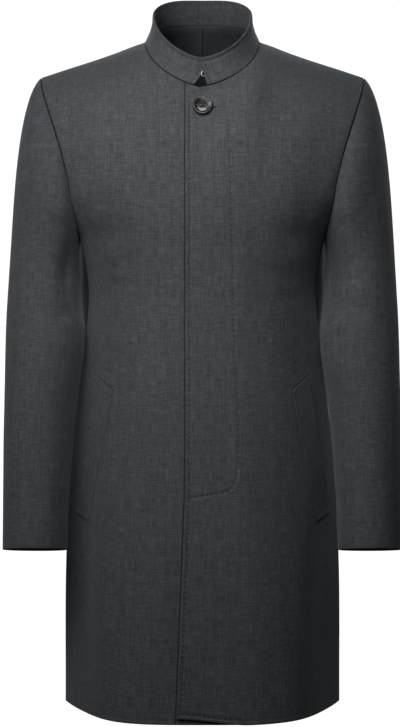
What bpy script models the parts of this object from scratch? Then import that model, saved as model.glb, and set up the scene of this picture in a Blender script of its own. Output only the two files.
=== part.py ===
"""Stand-collar overcoat with a fly front, worn shape with no wearer in it.

All tables and sizes are in millimetres and are turned into metres when a mesh is made. The coat's
front faces -Y, its left side lies at +X, and +Z is up. The origin is the middle of the neck at the
height of the shoulder line's inner ends, where the shoulders carry it.
"""

import math

import bmesh
import bpy
import numpy as np
from mathutils import Matrix, Vector
from mathutils.bvhtree import BVHTree

MM = 0.001

# Cloth walls and the clearance kept between pieces that are sewn together.
BODY_WALL = 2.5
SLEEVE_WALL = 2.0
COLLAR_WALL = 3.0
WELT_WALL = 2.0
LINING_WALL = 1.0
SEAM_GAP = 0.3

# Neck ring and shoulder line.
MID_Y = 8.0                     # side seams, shoulder seams and neck sides lie on this plane
NECK_HALF_WIDTH = 80.0
NECK_FRONT_REACH = 103.0        # from MID_Y to the front of the neck seam
NECK_BACK_REACH = 62.0
NECK_FRONT_DROP = 79.0
NECK_BACK_RISE = 32.0
NECK_FRONT_SQUARENESS = 2.5     # 2 would be an ellipse seen from above, more is squarer
NECK_BACK_SQUARENESS = 2.2
NECK_DROP_CURVE = 1.56          # how the seam falls from the shoulder to the front
NECK_RISE_CURVE = 3.2           # and how it climbs to the nape
SHOULDER_LINE = (
    # x, height
    (80.0, 0.0),
    (95.0, -5.0),
    (118.0, -14.0),
    (152.0, -25.9),
    (187.0, -37.1),
    (226.0, -50.0),
)

# Which way the cloth leaves its top edge: below the neck, at the shoulder's root and at its tip.
FRONT_NECK_FALL = (0.0, -0.30, -0.95)
FRONT_ROOT_FALL = (0.05, -0.93, -0.36)
FRONT_TIP_FALL = (-0.02, -0.90, -0.42)
BACK_NECK_FALL = (0.0, 0.52, -0.85)
BACK_ROOT_FALL = (0.04, 0.98, 0.02)
BACK_TIP_FALL = (-0.02, 0.90, -0.42)
UPPER_HANDLE = 0.36             # length of the curve handles, of the column's chord

# Collar band.
COLLAR_HEIGHT_MEAN = 39.0
COLLAR_HEIGHT_SWING = 2.0       # taller at the front, lower at the back
COLLAR_TAPER = 0.125            # the top ring is this much narrower than the neck seam
COLLAR_FLARE = 2.2              # how fast the band leaves the seam line
COLLAR_LAP = COLLAR_WALL + 1.4  # the left end lies this far out over the right end
COLLAR_RIGHT_END = (-12.2, 11.0)   # x at the seam, x at the top edge, under the left end
COLLAR_LEFT_END = (6.5, -4.4)
COLLAR_SKEW_ANGLE = 50.0        # the ends' slant is gone this far round the neck
COLLAR_ROWS = (0.0, 0.2, 0.45, 0.72, 1.0)

# Body sections below the chest. Both halves are alike but for the fronts' edges.
CHEST_LEVEL = -230.0
PIT_LEVEL = -275.0
HEM_LEVEL = -925.0
BODY_SECTIONS = (
    # height, half_width, front_depth, back_depth, flatness, side_roundness
    (-230.0, 203.0, 135.0, 121.0, 2.50, 0.40),
    (-255.0, 186.0, 134.5, 121.0, 2.50, 0.42),
    (-275.0, 172.5, 133.0, 120.0, 2.55, 0.45),
    (-300.0, 166.5, 130.5, 117.0, 2.70, 0.52),
    (-349.0, 159.4, 127.0, 114.0, 2.90, 0.65),
    (-400.0, 162.8, 127.5, 115.0, 3.00, 0.75),
    (-434.0, 167.0, 129.0, 118.0, 3.00, 0.80),
    (-502.0, 175.2, 133.5, 126.0, 3.10, 0.83),
    (-608.0, 186.0, 142.0, 136.0, 3.30, 0.88),
    (-712.0, 191.0, 151.0, 143.0, 3.50, 0.92),
    (-925.0, 192.4, 165.0, 152.0, 4.00, 1.00),
)
ROWS_BELOW_CHEST = (
    -230.0, -255.0, -268.0, -275.0, -300.0, -325.0, -360.0, -405.0, -455.0, -510.0, -570.0,
    -630.0, -690.0, -750.0, -810.0, -868.0, -925.0,
)
ROWS_ABOVE_CHEST = 6
ROWS_TO_PIT = ROWS_ABOVE_CHEST + ROWS_BELOW_CHEST.index(PIT_LEVEL)

# Where the armholes cut the body, seen from the front and from the back.
ARMHOLE_SIDE = (
    # height, front_x, back_x
    (-230.0, 178.5, 187.0),
    (-255.0, 173.5, 179.5),
    (-268.0, 171.5, 174.5),
    (-275.0, 172.5, 172.5),
)

# Front edges, x on each front's own side of the middle, measured towards that side.
LEFT_EDGE = (
    # height, x
    (-60.0, -22.6),
    (-618.0, -22.6),
    (-925.0, -34.5),
)
RIGHT_EDGE = (
    (-60.0, -25.0),
    (-400.0, -25.0),
    (-925.0, -53.0),
)
LEFT_TOP_CORNER = ((-22.6, -88.0), (-16.0, -82.7), (-5.0, -80.6))   # x, height of the top edge
RIGHT_TOP_CORNER = ((-25.0, -81.5), (-11.0, -81.5), (2.0, -81.0))
LAP = BODY_WALL + 1.4           # the left front lies this far out over the right front
LAP_MARGIN = 6.0                # full that far past the right front's edge
LAP_EASE = 46.0                 # and gone this far after that
HEM_LIFT = 8.0                  # the left front's corner hangs a little short
HEM_LIFT_END_X = 62.0
HEM_LIFT_SHARES = ((-1, 1.0), (-2, 0.4))   # row from the hem, share of the lift

NECK_COLUMNS = 7
SHOULDER_COLUMNS = 8
BACK_NECK_COLUMNS = 5
SHOULDER_ROOT_ANGLE = 27.0      # the low rows reach this angle under the neck's side

# Sleeve sections below the armpit; each ring leans with the sleeve.
SLEEVE_SECTIONS = (
    # height, centre_x, centre_y, half_width, half_depth, lean, tuck
    (-330.0, 220.0, -4.0, 49.3, 73.0, 0.06, 26.0),
    (-355.0, 220.2, -9.0, 50.0, 71.5, 0.09, 28.0),
    (-380.0, 219.6, -15.0, 51.5, 70.0, 0.12, 27.0),
    (-410.0, 217.2, -23.0, 54.4, 68.0, 0.15, 8.0),
    (-434.0, 217.4, -29.0, 54.2, 66.5, 0.17, 0.0),
    (-470.0, 219.7, -36.0, 52.0, 64.5, 0.17, 0.0),
    (-500.0, 221.7, -41.0, 50.3, 62.5, 0.17, 0.0),
    (-553.0, 224.5, -49.0, 48.0, 59.5, 0.16, 0.0),
    (-607.0, 226.2, -56.0, 46.0, 57.5, 0.15, 0.0),
    (-705.0, 228.0, -68.0, 43.7, 54.0, 0.14, 0.0),
)
TUCK_ANGLE = 232.0              # the upper sleeve is pressed in behind the body's side here
TUCK_SPREAD = 22.0
SLEEVE_RINGS = (-330.0, -362.0, -400.0, -440.0, -482.0, -525.0, -570.0, -615.0, -660.0, -705.0)
CAP_ROWS = 7
SLEEVE_START = 0.4              # clear of the armhole's edge, sideways
CAP_REACH = 45.0                # longest curve handle at the armhole
CAP_HANDLE = 0.33               # and the handles' length, of the column's chord
CAP_SPREAD = (0.06, 0.76)       # how far the cap leaves the armhole sideways: underarm, shoulder
CAP_TURN = 0.60                 # and to the front and back
CAP_FALL = (0.95, 0.63)         # and downwards: underarm, shoulder
FRONT_SEAM_ANGLE = 155.0        # 0 is outwards, 90 forwards, 180 towards the body
BACK_SEAM_ANGLE = 270.0

# Slanted welts: x and height of the corners on the wearer's left side.
WELT_TOP_OUTER = (143.8, -468.4)
WELT_TOP_INNER = (120.8, -488.0)
WELT_LOW_OUTER = (173.7, -657.4)
WELT_LOW_INNER = (155.0, -667.7)
WELT_ROWS = 12
WELT_COLUMNS = 5
WELT_CLEAR = 0.8

# Button and hook.
BUTTON_AT = (0.3, -107.5)
BUTTON_CLEAR = 0.9
BUTTON_HOLE_RADIUS = 1.3
BUTTON_HOLE_SPREAD = 2.9
BUTTON_PROFILE = (
    # radius, height over the cloth
    (0.0, 2.1),
    (8.6, 2.1),
    (9.6, 2.6),
    (10.8, 3.6),
    (12.2, 3.8),
    (13.2, 3.2),
    (13.6, 2.2),
    (13.0, 1.0),
    (10.5, 0.0),
    (0.0, 0.0),
)
HOOK_AT = (0.4, -60.5)          # x, height of the loop's middle
HOOK_WIRE = 0.5                 # radius
HOOK_HALF_WIDTH = 1.9
HOOK_HALF_HEIGHT = 3.4
HOOK_LEG = 6.0
HOOK_LEG_SPREAD = 1.6
HOOK_OPEN = 50.0                # the loop starts and ends this far from its leg side, degrees
HOOK_STEPS = 14
HOOK_LEAN = 0.33                # it leans back with the collar

LINING_SHOULDER_COLUMNS = 3
LINING_ROWS = 6

CLOTH_GREY = (0.085, 0.092, 0.097, 1.0)
LINING_GREY = (0.030, 0.034, 0.036, 1.0)
BUTTON_BLACK = (0.012, 0.013, 0.014, 1.0)
HOOK_STEEL = (0.62, 0.63, 0.64, 1.0)


def read(table, column, at):
    """A table's column at a height, on a smooth curve through the rows."""
    rows = sorted(table)
    xs = np.array([row[0] for row in rows])
    ys = np.array([row[column] for row in rows])
    if at <= xs[0]:
        return float(ys[0])
    if at >= xs[-1]:
        return float(ys[-1])
    slopes = np.gradient(ys, xs)
    k = int(np.searchsorted(xs, at)) - 1
    span = xs[k + 1] - xs[k]
    t = (at - xs[k]) / span
    low = ys[k] * (2 * t**3 - 3 * t**2 + 1) + slopes[k] * span * (t**3 - 2 * t**2 + t)
    high = ys[k + 1] * (3 * t**2 - 2 * t**3) + slopes[k + 1] * span * (t**3 - t**2)
    return float(low + high)


def read_straight(table, at):
    """The second column of a two-column table, on straight stretches."""
    rows = sorted(table)
    return float(np.interp(at, [row[0] for row in rows], [row[1] for row in rows]))


def unit(vector):
    return np.asarray(vector, float) / np.linalg.norm(vector)


def ramp(value, start, end):
    """0 at start, 1 at end, smooth between."""
    t = min(max((value - start) / (end - start), 0.0), 1.0)
    return t * t * (3 - 2 * t)


def bezier(start, start_handle, end_handle, end, count):
    """Points along a cubic curve, both ends included."""
    points = []
    for step in range(count + 1):
        t = step / count
        points.append(
            start * (1 - t) ** 3
            + 3 * start_handle * t * (1 - t) ** 2
            + 3 * end_handle * t**2 * (1 - t)
            + end * t**3
        )
    return points


def neck_point(angle):
    """Neck seam at an angle in degrees: 0 front, 90 left side, 180 back."""
    turn = math.radians(angle)
    side = abs(math.sin(turn))
    x = NECK_HALF_WIDTH * math.sin(turn)
    if math.cos(turn) >= 0:
        reach = (1 - side**NECK_FRONT_SQUARENESS) ** (1 / NECK_FRONT_SQUARENESS)
        y = MID_Y - NECK_FRONT_REACH * reach
        z = -NECK_FRONT_DROP * math.sqrt(1 - side**NECK_DROP_CURVE)
    else:
        reach = (1 - side**NECK_BACK_SQUARENESS) ** (1 / NECK_BACK_SQUARENESS)
        y = MID_Y + NECK_BACK_REACH * reach
        z = NECK_BACK_RISE * math.sqrt(1 - side**NECK_RISE_CURVE)
    return np.array((x, y, z))


def neck_angle(x):
    return math.degrees(math.asin(x / NECK_HALF_WIDTH))


def body_point(x, height, front):
    """A point of the body's outer surface below the chest level."""
    width = read(BODY_SECTIONS, 1, height)
    depth = read(BODY_SECTIONS, 2 if front else 3, height)
    flatness = read(BODY_SECTIONS, 4, height)
    roundness = read(BODY_SECTIONS, 5, height)
    share = min(abs(x) / width, 1.0)
    reach = depth * (1 - share**flatness) ** roundness
    return np.array((x, MID_Y - reach if front else MID_Y + reach, height))


def side_x(height, front):
    """Where a body row ends: at the armhole, and below it at the side seam."""
    if height > PIT_LEVEL:
        return read(ARMHOLE_SIDE, 1 if front else 2, height)
    return read(BODY_SECTIONS, 1, height)


def low_row(height, front, edge_x, neck_columns):
    """A level row of body points, from the middle edge to the side."""
    width = read(BODY_SECTIONS, 1, height)
    first = math.degrees(math.asin(edge_x / width))
    last = math.degrees(math.asin(min(side_x(height, front) / width, 1.0)))
    angles = list(np.linspace(first, SHOULDER_ROOT_ANGLE, neck_columns + 1))
    angles += list(np.linspace(SHOULDER_ROOT_ANGLE, last, SHOULDER_COLUMNS + 1))[1:]
    return [body_point(width * math.sin(math.radians(a)), height, front) for a in angles]


def shoulder_points():
    xs = np.linspace(SHOULDER_LINE[0][0], SHOULDER_LINE[-1][0], SHOULDER_COLUMNS + 1)[1:]
    return [np.array((x, MID_Y, read(SHOULDER_LINE, 1, x))) for x in xs]


def upper_rows(top, chest, below, top_directions):
    """Columns from the neck and shoulder seams down to the chest row, as rows."""
    columns = []
    for start, end, next_end, direction in zip(top, chest, below, top_directions):
        down = unit(unit(next_end - end) + np.array((0.0, 0.0, -1.0)))
        handle = UPPER_HANDLE * np.linalg.norm(end - start)
        columns.append(
            bezier(start, start + unit(direction) * handle, end - down * handle, end,
                   ROWS_ABOVE_CHEST)
        )
    return [[column[row] for column in columns] for row in range(ROWS_ABOVE_CHEST)]


def front_top(corner, collar_end):
    """Top edge of a front: its free corner, the neck seam and the shoulder seam."""
    points = []
    for x, height in corner:
        seam = neck_point(neck_angle(x))
        way = front_direction(x)
        points.append(seam + way * (seam[2] - height) / -way[2])
        points[-1][0] = x
    first = neck_angle(abs(collar_end[0]))
    points += [neck_point(a) for a in np.linspace(first, 90.0, NECK_COLUMNS + 1)]
    return points + shoulder_points()


def front_direction(x):
    """Which way the cloth of a front leaves its top edge, x from the middle."""
    neck, root, tip = (np.array(way) for way in (FRONT_NECK_FALL, FRONT_ROOT_FALL, FRONT_TIP_FALL))
    if abs(x) <= NECK_HALF_WIDTH:
        return unit(neck + (root - neck) * (abs(x) / NECK_HALF_WIDTH) ** 2)
    share = (x - NECK_HALF_WIDTH) / (SHOULDER_LINE[-1][0] - NECK_HALF_WIDTH)
    return unit(root + (tip - root) * share**2)


def back_direction(neck_share, tip_share):
    """The same for the back: shares run from the nape to the neck's side, and on to the tip."""
    neck, root, tip = (np.array(way) for way in (BACK_NECK_FALL, BACK_ROOT_FALL, BACK_TIP_FALL))
    return unit(neck + (root - neck) * neck_share**1.3 + (tip - root) * tip_share**1.5)


def front_net(edge, corner, collar_end):
    """Outer points of the left front, or of the right front before it is mirrored."""
    neck_columns = NECK_COLUMNS + len(corner)
    top = front_top(corner, collar_end)
    rows = [low_row(z, True, read_straight(edge, z), neck_columns) for z in ROWS_BELOW_CHEST]
    directions = [front_direction(point[0]) for point in top]
    return np.array(upper_rows(top, rows[0], rows[1], directions) + rows)


def back_net():
    """Outer points of the left back."""
    top = [neck_point(a) for a in np.linspace(180.0, 90.0, BACK_NECK_COLUMNS + 1)]
    top += shoulder_points()
    rows = [low_row(z, False, 0.0, BACK_NECK_COLUMNS) for z in ROWS_BELOW_CHEST]
    directions = [
        back_direction(min(column / BACK_NECK_COLUMNS, 1.0),
                       max(column - BACK_NECK_COLUMNS, 0) / SHOULDER_COLUMNS)
        for column in range(len(top))
    ]
    return np.array(upper_rows(top, rows[0], rows[1], directions) + rows)


def net_normals(net, outwards):
    """Unit normals of a net of points, turned towards the side that outwards names."""
    along = np.gradient(net, axis=1)
    down = np.gradient(net, axis=0)
    normals = np.cross(along, down)
    lengths = np.linalg.norm(normals, axis=2, keepdims=True)
    normals = normals / np.maximum(lengths, 1e-9)
    return normals * outwards


def share_normals(first, second):
    """One common normal along a seam, written into both pieces."""
    both = first + second
    both /= np.linalg.norm(both, axis=-1, keepdims=True)
    first[...] = both
    second[...] = both


def pull_in(net, edge, amount, keep=None):
    """Draw an edge of a net back from its seam, towards the next row or column."""
    lines = {"top": (net[0], net[1]), "left": (net[:, 0], net[:, 1]),
             "right": (net[:, -1], net[:, -2]), "bottom": (net[-1], net[-2])}
    line, inner = lines[edge]
    step = inner - line
    lengths = np.linalg.norm(step, axis=1, keepdims=True)
    moved = line + step * amount / np.maximum(lengths, 1e-9)
    part = keep if keep is not None else slice(None)
    line[part] = moved[part]


def mirrored(net):
    return net * np.array((-1.0, 1.0, 1.0))


def wall_mesh(name, outer, inner, turned=0):
    """A closed wall between two nets of points; its first columns, if turned, split crosswise."""
    rows, columns = outer.shape[:2]
    points = np.concatenate((outer.reshape(-1, 3), inner.reshape(-1, 3))) * MM
    far = rows * columns

    def at(row, column, side):
        return side * far + row * columns + column

    faces = []
    for row in range(rows - 1):
        for column in range(columns - 1):
            quad = ((row, column), (row, column + 1), (row + 1, column + 1), (row + 1, column))
            if column < turned:
                quad = quad[1:] + quad[:1]
            faces.append([at(r, c, 0) for r, c in quad])
            faces.append([at(r, c, 1) for r, c in quad[:1] + quad[:0:-1]])
    rim = [(0, c) for c in range(columns)]
    rim += [(r, columns - 1) for r in range(1, rows)]
    rim += [(rows - 1, c) for c in range(columns - 2, -1, -1)]
    rim += [(r, 0) for r in range(rows - 2, 0, -1)]
    for here, there in zip(rim, rim[1:] + rim[:1]):
        faces.append([at(*here, 0), at(*here, 1), at(*there, 1), at(*there, 0)])
    return closed_mesh(name, points, faces)


def closed_mesh(name, points, faces):
    mesh = bpy.data.meshes.new(name)
    mesh.from_pydata([tuple(p) for p in points], [], faces)
    work = bmesh.new()
    work.from_mesh(mesh)
    bmesh.ops.recalc_face_normals(work, faces=work.faces)
    work.to_mesh(mesh)
    work.free()
    return mesh


def add_piece(name, mesh, material, sharp_angle=40.0):
    piece = bpy.data.objects.new(name, mesh)
    bpy.context.scene.collection.objects.link(piece)
    mesh.materials.append(material)
    mesh.shade_smooth()
    mesh.set_sharp_from_angle(angle=math.radians(sharp_angle))
    return piece


def new_material(name, colour, roughness, metallic=0.0):
    material = bpy.data.materials.new(name)
    material.use_nodes = True
    shader = material.node_tree.nodes["Principled BSDF"]
    shader.inputs["Base Color"].default_value = colour
    shader.inputs["Roughness"].default_value = roughness
    shader.inputs["Metallic"].default_value = metallic
    return material


def lap_share(x, height):
    """How much of the lap the left side has: all of it over the right front, none further on."""
    start = LAP_MARGIN - read_straight(RIGHT_EDGE, height)
    return 1 - ramp(x, start, start + LAP_EASE)


def lap_out(net, normals):
    """The left front laid over the right one, easing back to the body past the fly."""
    ways = normals.copy()
    ways[0, :, 2] = 0.0
    ways[0] /= np.maximum(np.linalg.norm(ways[0], axis=1, keepdims=True), 0.2)
    lift = [[LAP * lap_share(point[0], point[2]) for point in row] for row in net]
    return net + ways * np.array(lift)[..., None]


def raise_hem(net):
    """The left front's lower corner, a little shorter than the cloth under it."""
    edge_x = LEFT_EDGE[-1][1]
    for row, share in HEM_LIFT_SHARES:
        for column in range(net.shape[1]):
            lift = HEM_LIFT * (1 - ramp(net[row, column, 0], edge_x, HEM_LIFT_END_X))
            net[row, column, 2] += lift * share
    return net


def torso_nets():
    """Outer points and normals of both fronts and both backs, with common seam normals."""
    left = raise_hem(front_net(LEFT_EDGE, LEFT_TOP_CORNER, COLLAR_LEFT_END))
    right = front_net(RIGHT_EDGE, RIGHT_TOP_CORNER, COLLAR_RIGHT_END)
    back = back_net()
    left_normals = net_normals(left, -1.0)
    right_normals = net_normals(right, -1.0)
    back_normals = net_normals(back, 1.0)
    back_normals[:, 0, 0] = 0.0
    back_normals[:, 0] /= np.linalg.norm(back_normals[:, 0], axis=1, keepdims=True)
    shoulder = slice(-SHOULDER_COLUMNS - 1, None)
    side = slice(ROWS_TO_PIT, None)
    seam_top = back_normals[0, shoulder].copy()
    seam_side = back_normals[side, -1].copy()
    for normals in (left_normals, right_normals):
        share_normals(normals[0, shoulder], back_normals[0, shoulder])
        share_normals(normals[side, -1], back_normals[side, -1])
        back_normals[0, shoulder] = seam_top
        back_normals[side, -1] = seam_side
    share_normals(left_normals[0, shoulder], right_normals[0, shoulder])
    share_normals(left_normals[side, -1], right_normals[side, -1])
    back_normals[0, shoulder] = left_normals[0, shoulder]
    back_normals[side, -1] = left_normals[side, -1]
    half = SEAM_GAP / 2
    for net in (left, right, back):
        pull_in(net, "top", half, shoulder)
        pull_in(net, "right", half, side)
    pull_in(back, "left", half)
    return {
        "front_left": (lap_out(left, left_normals), left_normals),
        "front_right": (mirrored(right), mirrored(right_normals)),
        "back_left": (back, back_normals),
        "back_right": (mirrored(back), mirrored(back_normals)),
    }


def armhole_loop(nets):
    """Armhole points of the left side with their turn, from the shoulder round the front."""
    front = nets["front_left"][0][:ROWS_TO_PIT + 1, -1]
    back = nets["back_left"][0][:ROWS_TO_PIT + 1, -1]
    loop = []
    for line, sense in ((front, 1.0), (back, -1.0)):
        steps = np.linalg.norm(np.diff(line, axis=0), axis=1)
        along = np.concatenate(([0.0], np.cumsum(steps))) / steps.sum()
        turns = 180.0 * along if sense > 0 else 360.0 - 180.0 * along
        loop.append(list(zip(turns, line)))
    points = loop[0] + loop[1][-2:0:-1]
    top = (front[0] + back[0]) / 2
    pit = (front[-1] + back[-1]) / 2
    points[0] = (0.0, top)
    points[ROWS_TO_PIT] = (180.0, pit)
    return points


def sleeve_point(height, turn):
    """A point of the sleeve's outer surface; the turn is 0 outwards and 90 forwards."""
    centre_x, centre_y, half_width, half_depth, lean, tuck = (
        read(SLEEVE_SECTIONS, column, height) for column in range(1, 7)
    )
    angle = math.radians(turn)
    x = half_width * math.cos(angle) - tuck * math.exp(-(((turn - TUCK_ANGLE) / TUCK_SPREAD) ** 2))
    y = -half_depth * math.sin(angle)
    return np.array((centre_x + x, centre_y + y, height - lean * y))


def sleeve_columns(loop):
    """One column of sleeve points for each armhole point, from the seam to the cuff."""
    columns = []
    for turn, seam in loop:
        angle = math.radians(turn)
        start = seam + np.array((SLEEVE_START, 0.0, 0.0))
        end = sleeve_point(SLEEVE_RINGS[0], turn)
        down = unit(sleeve_point(SLEEVE_RINGS[1], turn) - end)
        outer = (1 + math.cos(angle)) / 2
        spread = CAP_SPREAD[0] + (CAP_SPREAD[1] - CAP_SPREAD[0]) * outer
        fall = CAP_FALL[0] + (CAP_FALL[1] - CAP_FALL[0]) * outer
        direction = unit((spread, -CAP_TURN * math.sin(angle), -fall))
        second = CAP_HANDLE * np.linalg.norm(end - start)
        first = min(CAP_REACH, second)
        cap = bezier(start, start + direction * first, end - down * second, end, CAP_ROWS)
        columns.append(cap + [sleeve_point(z, turn) for z in SLEEVE_RINGS[1:]])
    return np.array(columns).transpose(1, 0, 2)


def ring_normals(net):
    """Outward normals of a net whose columns go all the way round."""
    around = np.roll(net, -1, axis=1) - np.roll(net, 1, axis=1)
    down = np.gradient(net, axis=0)
    normals = np.cross(down, around)
    normals /= np.linalg.norm(normals, axis=2, keepdims=True)
    centre = net.mean(axis=1, keepdims=True)
    if (normals[-1] * (net - centre)[-1]).sum() < 0:
        normals = -normals
    return normals


def sleeve_nets(nets):
    """The upper and under pieces of the left sleeve: points and normals."""
    loop = armhole_loop(nets)
    turns = np.array([turn for turn, _ in loop])
    whole = sleeve_columns(loop)
    normals = ring_normals(whole)
    normals[0, :, 0] = np.minimum(normals[0, :, 0], 0.0)
    normals[0] /= np.linalg.norm(normals[0], axis=1, keepdims=True)
    front = int(np.argmin(abs(turns - FRONT_SEAM_ANGLE)))
    back = int(np.argmin(abs(turns - BACK_SEAM_ANGLE)))
    count = len(loop)
    upper = [c % count for c in range(back, count + front + 1)]
    under = list(range(front, back + 1))
    pieces = {}
    for name, picked in (("top", upper), ("under", under)):
        net = whole[:, picked].copy()
        pull_in(net, "left", SEAM_GAP / 2)
        pull_in(net, "right", SEAM_GAP / 2)
        pieces[name] = (net, normals[:, picked].copy())
    return pieces


def collar_net():
    """Outer points and normals of the collar band, from its right end round the back."""
    right_seam = neck_angle(COLLAR_RIGHT_END[0])
    left_seam = neck_angle(COLLAR_LEFT_END[0])
    top_half_width = NECK_HALF_WIDTH * (1 - COLLAR_TAPER)
    right_skew = math.degrees(math.asin(COLLAR_RIGHT_END[1] / top_half_width)) - right_seam
    left_skew = math.degrees(math.asin(COLLAR_LEFT_END[1] / top_half_width)) - left_seam
    front_angles = np.linspace(left_seam, 90.0, NECK_COLUMNS + 1)
    back_angles = np.linspace(90.0, 270.0, 2 * BACK_NECK_COLUMNS + 1)[1:]
    right_angles = np.linspace(270.0, 360.0 + right_seam, NECK_COLUMNS + 1)[1:]
    angles = np.concatenate((front_angles, back_angles, right_angles))
    rows = []
    for share in COLLAR_ROWS:
        row = []
        for angle in angles:
            skew = left_skew * (1 - ramp(angle, left_seam, COLLAR_SKEW_ANGLE))
            skew += right_skew * ramp(angle, 360.0 - COLLAR_SKEW_ANGLE, 360.0 + right_seam)
            row.append(collar_point(angle + skew * share, share))
        rows.append(row)
    net = np.array(rows)
    normals = net_normals(net, 1.0)
    if normals[2, len(angles) // 2, 1] < 0:
        normals = -normals
    normals[0, :, 2] = 0.0
    normals[0] /= np.linalg.norm(normals[0], axis=1, keepdims=True)
    lap = np.array([COLLAR_LAP * lap_share(x, 0.0) if a <= 90.0 else 0.0
                    for a, x in zip(angles, net[0, :, 0])])
    return net + normals * lap[None, :, None], normals


def collar_point(angle, share):
    base = neck_point(angle)
    scale = 1 - COLLAR_TAPER * (1 - (1 - share) ** COLLAR_FLARE)
    tall = COLLAR_HEIGHT_MEAN + COLLAR_HEIGHT_SWING * math.cos(math.radians(angle))
    rise = SEAM_GAP + tall * share
    return np.array((base[0] * scale, MID_Y + (base[1] - MID_Y) * scale, base[2] + rise))


def make_wall(name, net, normals, thickness, material):
    return add_piece(name, wall_mesh(name, net, net - normals * thickness), material)


def landing(panel, x, height):
    """Where a line from straight ahead meets a piece: the place and its normal, in millimetres."""
    work = bmesh.new()
    work.from_mesh(panel.data)
    tree = BVHTree.FromBMesh(work)
    work.free()
    place, normal, _, _ = tree.ray_cast(Vector((x * MM, -1.0, height * MM)), Vector((0, 1, 0)))
    return np.array(place) / MM, np.array(normal)


def make_welt(name, panel, side, material):
    """A pocket welt: a strip lying on its front, a gap clear of it."""
    corners = [np.array(c) for c in (WELT_TOP_INNER, WELT_TOP_OUTER, WELT_LOW_INNER,
                                     WELT_LOW_OUTER)]
    near = np.zeros((WELT_ROWS + 1, WELT_COLUMNS + 1, 3))
    normals = np.zeros_like(near)
    for row in range(WELT_ROWS + 1):
        down = row / WELT_ROWS
        inner = corners[0] + (corners[2] - corners[0]) * down
        outer = corners[1] + (corners[3] - corners[1]) * down
        for column in range(WELT_COLUMNS + 1):
            x, height = inner + (outer - inner) * column / WELT_COLUMNS
            near[row, column], normals[row, column] = landing(panel, side * x, height)
    smooth = normals.mean(axis=0, keepdims=True) + 0.5 * normals
    smooth /= np.linalg.norm(smooth, axis=2, keepdims=True)
    clear = near + smooth * WELT_CLEAR
    add_piece(name, wall_mesh(name, clear + smooth * WELT_WALL, clear), material)


def make_lining(nets, material):
    """The upper back lining that shows in the neck, inside both backs."""
    columns = BACK_NECK_COLUMNS + LINING_SHOULDER_COLUMNS + 1
    net, normals = (side[:LINING_ROWS, :columns] for side in nets["back_left"])
    net = np.concatenate((mirrored(net[:, :0:-1]), net), axis=1)
    normals = np.concatenate((mirrored(normals[:, :0:-1]), normals), axis=1)
    middle = net.shape[1] // 2
    net[:, middle, 0] = 0.0
    outer = net - normals * (BODY_WALL + SEAM_GAP)
    mesh = wall_mesh("back_neck_lining", outer, outer - normals * LINING_WALL, middle)
    add_piece("back_neck_lining", mesh, material)


def make_button(panel, material):
    """A round button with a raised rim and four holes, lying on the left front."""
    work = bmesh.new()
    profile = [work.verts.new((radius * MM, 0.0, height * MM))
               for radius, height in BUTTON_PROFILE]
    edges = [work.edges.new(pair) for pair in zip(profile, profile[1:])]
    bmesh.ops.spin(work, geom=profile + edges, axis=(0, 0, 1), cent=(0, 0, 0), steps=32,
                   angle=math.tau)
    bmesh.ops.remove_doubles(work, verts=work.verts, dist=0.02 * MM)
    bmesh.ops.recalc_face_normals(work, faces=work.faces)
    mesh = bpy.data.meshes.new("button")
    work.to_mesh(mesh)
    work.free()
    button = add_piece("button", mesh, material)
    place, normal = landing(panel, *BUTTON_AT)
    seat = place + normal * BUTTON_CLEAR
    turn = Vector(normal).to_track_quat("Z", "Y").to_matrix().to_4x4()
    for number in range(4):
        angle = math.radians(45 + 90 * number)
        bpy.ops.mesh.primitive_cylinder_add(vertices=10, radius=BUTTON_HOLE_RADIUS * MM,
                                            depth=12 * MM)
        cutter = bpy.context.object
        cutter.name = f"button_hole_{number + 1}"
        cutter.location = (BUTTON_HOLE_SPREAD * math.cos(angle) * MM,
                           BUTTON_HOLE_SPREAD * math.sin(angle) * MM, 0.0)
        cutter.hide_render = True
        cutter.display_type = "WIRE"
        cutter.parent = button
        cut = button.modifiers.new(cutter.name, "BOOLEAN")
        cut.object = cutter
    button.matrix_world = Matrix.Translation(Vector(seat * MM)) @ turn


def make_hook(collar, material):
    """The wire eye that closes the collar, its legs behind the left end, in the notch."""
    x, height = HOOK_AT
    place, normal = landing(collar, x + HOOK_LEG, height)
    y = place[1] - (COLLAR_WALL + COLLAR_LAP) / 2 / normal[1]
    route = [(x + HOOK_LEG, -HOOK_LEG_SPREAD)]
    for step in range(HOOK_STEPS + 1):
        angle = math.radians(-HOOK_OPEN + (HOOK_OPEN * 2 - 360.0) * step / HOOK_STEPS)
        route.append((x + HOOK_HALF_WIDTH * math.cos(angle), HOOK_HALF_HEIGHT * math.sin(angle)))
    route.append((x + HOOK_LEG, HOOK_LEG_SPREAD))
    curve = bpy.data.curves.new("collar_hook", "CURVE")
    curve.dimensions = "3D"
    curve.bevel_depth = HOOK_WIRE * MM
    curve.bevel_resolution = 2
    curve.use_fill_caps = True
    spline = curve.splines.new("POLY")
    spline.points.add(len(route) - 1)
    for spot, (across, up) in zip(spline.points, route):
        spot.co = (across * MM, (y + HOOK_LEAN * up) * MM, (height + up) * MM, 1.0)
    curve.materials.append(material)
    hook = bpy.data.objects.new("collar_hook", curve)
    bpy.context.scene.collection.objects.link(hook)


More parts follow.
